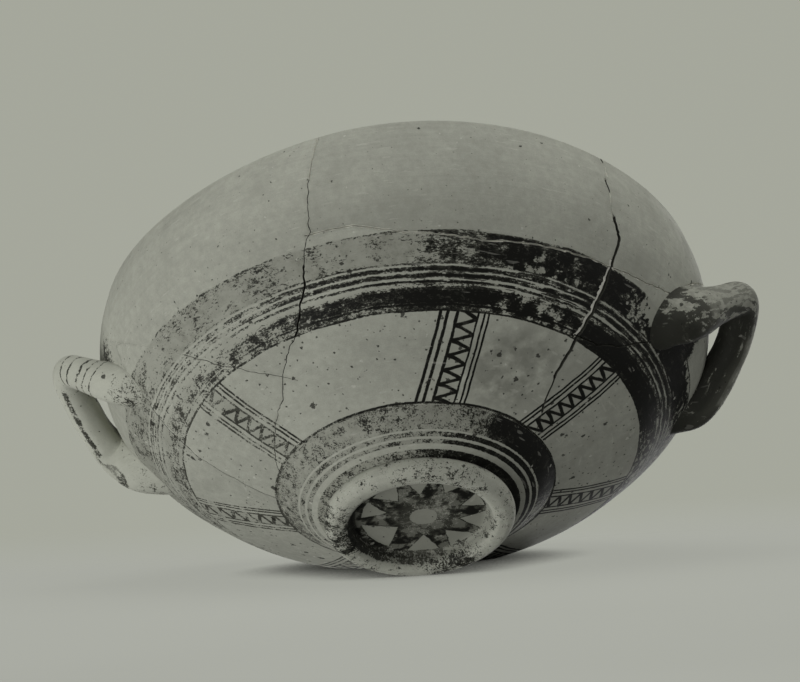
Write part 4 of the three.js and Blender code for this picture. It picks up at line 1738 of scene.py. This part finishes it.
@dataclass
class Studio:
    """Camera, lights and pale floor. The photograph looks up at the bowl from below.

    Angles are in degrees and sizes in metres. Names with px are pixels of the photograph from
    its top left corner. The places foot_edge, beside the axis, and lamp_aim, above the ground,
    are in millimetres. Corners are (right, nearer) from where the bowl touches the floor.
    """

    width_px: float = 800.0
    focal_px: float = 5100.0
    sensor_mm: float = 36.0
    tilt: float = 54.4
    roll: float = 5.0
    foot_px: tuple = (420.8, 527.6)
    centre_px: tuple = (400.0, 341.0)
    mm_per_px: float = 0.4167
    lamp_size: float = 1.2
    lamp_distance: float = 1.6
    lamp_aim: float = 60.0
    lamps: tuple = (
        Lamp("top light", (0.0, 1.0, 0.15), 16.0),
        Lamp("low key light", (-0.7, -0.5, 0.5), 18.2),
        Lamp("right light", (0.6, 0.6, 0.5), 6.3),
        Lamp("left light", (-1.0, 0.1, 0.35), 5.9),
        Lamp("edge light", (1.0, 0.0, 0.05), 4.5),
        Lamp("back light", (0.3, -0.1, -1.0), 14.0),
    )
    fill: float = 0.08
    sky: tuple = (1.0, 1.0, 0.985, 1.0)
    paper: tuple = (0.42, 0.43, 0.385, 1.0)
    backdrop: tuple = (0.378, 0.388, 0.332, 1.0)
    card: tuple = (0.05, 0.05, 0.045, 1.0)
    paper_glow: float = 0.98
    # How far the painted contact shadow on the floors reaches, in metres.
    painted_shadow_reach: float = 0.03
    floor_reach: float = 3.0
    floor_lean: float = 2.2
    floor_roll: float = 3.2
    floor_fade: float = 0.25
    side_fade: float = 0.15
    level_glow: float = 0.5
    leaning_glow: float = 0.86
    leaning_start: float = 0.12
    leaning_half_width: float = 0.21
    foot_edge: float = 36.5
    leaning_corners: tuple = ((-2.5, 1.6), (2.5, 1.6), (2.5, -0.5), (-2.5, -0.5))
    card_corners: tuple = ((0.008, -0.012), (0.052, -0.012), (0.052, -0.075), (0.008, -0.075))

    def turn(self) -> Matrix:
        """Work out how the camera sees the bowl turned.

        Returns:
            The rotation from the bowl's frame to the camera's. Its rows are the camera's right,
            up and back.
        """
        tilt, roll = math.radians(self.tilt), math.radians(self.roll)
        bowl_x = Vector((math.cos(roll), math.sin(roll), 0.0))
        bowl_z = Vector((-math.sin(tilt) * math.sin(roll), math.sin(tilt) * math.cos(roll), -math.cos(tilt)))
        return Matrix((bowl_x, bowl_z.cross(bowl_x), bowl_z)).transposed()

    def build(self) -> None:
        """Put up the camera, the lights, the backdrop and the floors."""
        self.set_camera()
        self.light_world()
        for lamp in self.lamps:
            self.hang(lamp)
        self.lay_floors()

    def set_camera(self) -> None:
        """Put the camera where the photograph was taken from."""
        data = bpy.data.cameras.new("camera")
        data.sensor_width = self.sensor_mm
        data.sensor_fit = "HORIZONTAL"
        data.lens = self.focal_px / self.width_px * self.sensor_mm
        data.clip_end = 20.0
        camera = link("camera", data)
        foot = Vector((self.foot_px[0] - self.centre_px[0], self.centre_px[1] - self.foot_px[1],
                       -self.focal_px)) * self.mm_per_px * MM
        turned = self.turn().transposed()
        camera.matrix_world = Matrix.Translation(-(turned @ foot)) @ turned.to_4x4()
        bpy.context.scene.camera = camera

    def hang(self, lamp: Lamp) -> None:
        """Hang one lamp and aim it at the bowl.

        Args:
            lamp: The lamp.
        """
        data = bpy.data.lights.new(lamp.name, "AREA")
        data.size = self.lamp_size
        data.energy = lamp.power
        hung = link(lamp.name, data)
        direction = (self.turn().transposed() @ Vector(lamp.towards)).normalized()
        hung.location = Vector((0, 0, self.lamp_aim * MM)) + direction * self.lamp_distance
        hung.rotation_euler = direction.to_track_quat("Z", "Y").to_euler()

    def light_world(self) -> None:
        """Light the bowl evenly all round, and show the pale backdrop to the camera."""
        world = bpy.data.worlds.new("studio")
        bpy.context.scene.world = world
        world.use_nodes = True
        tree = Tree(world.node_tree)
        fill = tree.add("ShaderNodeBackground", None, {"Color": self.sky, "Strength": self.fill})
        seen = tree.add("ShaderNodeBackground", None, {"Color": self.backdrop})
        camera_ray = tree.add("ShaderNodeLightPath").outputs["Is Camera Ray"]
        mixed = tree.add("ShaderNodeMixShader", None, {
            0: camera_ray, 1: fill.outputs[0], 2: seen.outputs[0],
        })
        tree.add("ShaderNodeOutputWorld", None, {0: mixed.outputs[0]})

    def floor_material(self, name: str, away: Vector, start: float, glow_share: float,
                       across: Vector, half_width: float) -> bpy.types.Material:
        """Make pale paper that only shows its upper face, with a painted contact shadow: its glow dims near
        the bowl.

        Args:
            name: The material's name.
            away: The direction in which the paper fades out.
            start: How far along it the fading starts, in metres.
            glow_share: How much of its tone the lamps leave alone.
            across: The direction to both sides of which the paper fades out too.
            half_width: How far it stays whole on each side, in metres.

        Returns:
            The material.
        """
        tree = Finish(name)
        place = tree.add("ShaderNodeTexCoord").outputs["Object"]
        reach, side = (tree.number(tree.vector("DOT_PRODUCT", place, tuple(way))) for way in (away, across))
        backface = tree.number(tree.add("ShaderNodeNewGeometry").outputs["Backfacing"])
        visible = reach.rise(start, start + self.floor_fade, 1.0, 0.0) * (1 - backface)
        visible = visible * abs(side).rise(half_width, half_width + self.side_fade, 1.0, 0.0)
        cloudy = tree.add("ShaderNodeTexNoise", None, {"Vector": place, "Scale": 3.0})
        grain = tree.number(cloudy.outputs[0])
        shade = tree.scaled(self.paper, grain.rise(0.3, 0.7, 0.98, 1.02))
        # Painted contact shadow: ambient occlusion dims the paper's glow close to the bowl.
        painted_shadow_ao = tree.number(tree.add("ShaderNodeAmbientOcclusion", {"samples": 8}, {
            "Distance": self.painted_shadow_reach,
        }).outputs["AO"])
        lit = tree.matt(tree.scaled(shade, 1.0 - glow_share), {
            "Emission Color": tree.scaled(shade, painted_shadow_ao.rise(0.0, 0.3, 0.0, self.paper_glow * glow_share)),
            "Emission Strength": 1.0,
        })
        clear = tree.add("ShaderNodeBsdfTransparent")
        return tree.done(tree.add("ShaderNodeMixShader", None, {
            0: visible, 1: clear.outputs[0], 2: lit.outputs[0],
        }))

    def sheet(self, name: str, corners: list, material: bpy.types.Material, hidden_from: tuple) -> None:
        """Lay one flat sheet.

        Args:
            name: The object's name.
            corners: Its corners in metres.
            material: What it is made of.
            hidden_from: The kinds of ray that pass through it.
        """
        sheet = mesh_object(name, corners, faces=[tuple(range(len(corners)))])
        sheet.data.materials.append(material)
        for ray in hidden_from:
            setattr(sheet, f"visible_{ray}", False)

    def lay_floors(self) -> None:
        """Lay the level floor, the leaning one that the photograph shows, and a shading card.

        The camera doesn't see the card, which keeps light off the bowl where it nearly touches.
        """
        all_but_camera = ("diffuse", "glossy", "transmission", "volume_scatter", "shadow")
        reach = self.floor_reach
        level = self.floor_material(
            "level floor paper", Vector((0.0, 0.0, 1.0)), reach, self.level_glow,
            Vector((1.0, 0.0, 0.0)), reach,
        )
        corners = [(-reach, -reach, 0), (reach, -reach, 0), (reach, reach, 0), (-reach, reach, 0)]
        self.sheet("level_floor", corners, level, all_but_camera)

        right, up, back = self.turn()
        roll, lean = math.radians(self.floor_roll), math.radians(self.floor_lean)
        right, up = (right * math.cos(roll) + up * math.sin(roll),
                     up * math.cos(roll) - right * math.sin(roll))
        normal = up * math.cos(lean) + back * math.sin(lean)
        nearer = back * math.cos(lean) - up * math.sin(lean)
        contact = Vector((normal.x, normal.y, 0.0)).normalized() * -self.foot_edge * MM
        leaning = self.floor_material(
            "leaning floor paper", -nearer, -nearer.dot(contact) + self.leaning_start,
            self.leaning_glow, right, self.leaning_half_width,
        )
        card = Finish("shading card")
        card_paper = card.done(card.matt(self.card))
        for name, places, material, hidden_from in (
            ("leaning_floor", self.leaning_corners, leaning, all_but_camera),
            ("contact_card", self.card_corners, card_paper, ("camera",)),
        ):
            corners = [contact + right * sideways + nearer * depth for sideways, depth in places]
            self.sheet(name, corners, material, hidden_from)


def dress(piece: bpy.types.Object, material: bpy.types.Material, node: str) -> None:
    """Give a piece its material and seat it on the frame in place of its CAD node.

    Args:
        piece: The finished piece.
        material: What it wears.
        node: The CAD node that it replaces.
    """
    piece.data.materials.clear()
    piece.data.materials.append(material)
    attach(piece, BODY)
    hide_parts(node)
    log.info("%s: %d faces, %s", piece.name, len(piece.data.polygons), material.name)


def make_handles() -> list[tuple[Handle, HandlePaint, str]]:
    """List both handles.

    Returns:
        Each handle with its paint and its material slot.
    """
    left = Handle(
        "handle_left", 176.0, 67.2,
        ((33.5, 0), (22.5, 29), (-4.5, 27.6), (-28.6, 16.9), (-30.4, 0)),
        7.2, Root(7.4, 15), Root(9.6, 30), fillet=9.0,
    )
    right = Handle(
        "handle_right", -4.0, 66.0,
        ((35.6, 0), (19.8, 22), (2.8, 30.8), (-11, 32.4), (-21.8, 18.4), (-33.4, 0)),
        7.8, Root(11.6, 32), Root(8.0, 12), fillet=5.0,
    )
    pale = HandlePaint(
        "pale handle clay", lit=0.0, shaded=0.12, roots=0.42, outer_strip=0.7, thickest_lit=0.15,
        stained=0.2, brushed=0.1, tone=1.4, sheen_and_wear_arm=(0.4, 1.0),
        strokes=((0.185, 0.006), (0.215, 0.008), (0.245, 0.008), (0.285, 0.007), (0.32, 0.006)),
    )
    dark = HandlePaint(
        "dark handle clay", lit=0.5, shaded=0.95, roots=1.0, outer_strip=0.0, thickest_lit=0.03,
        stained=1.0, brushed=0.7, tone=1.0, sheen_and_wear_arm=(0.0, 0.46), strokes=(),
    )
    return [(left, pale, "light_handle_clay"), (right, dark, "dark_handle_clay")]


def main() -> None:
    """Build the stage and every piece of the bowl."""
    logging.basicConfig(level=logging.INFO, format="%(name)s: %(message)s")
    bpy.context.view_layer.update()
    bpy.context.scene.view_settings.view_transform = "Standard"
    Studio().build()
    wall_clay = WallPaint().material()
    for sherd, piece in BrokenWall().build():
        dress(piece, wall_clay, sherd.node)
    foot = Foot()
    dress(foot.build(), FootPaint().material(), foot.node)
    for handle, paint, slot in make_handles():
        dress(handle.build(), paint.material(), handle.node)


if __name__ == "__main__":
    main()
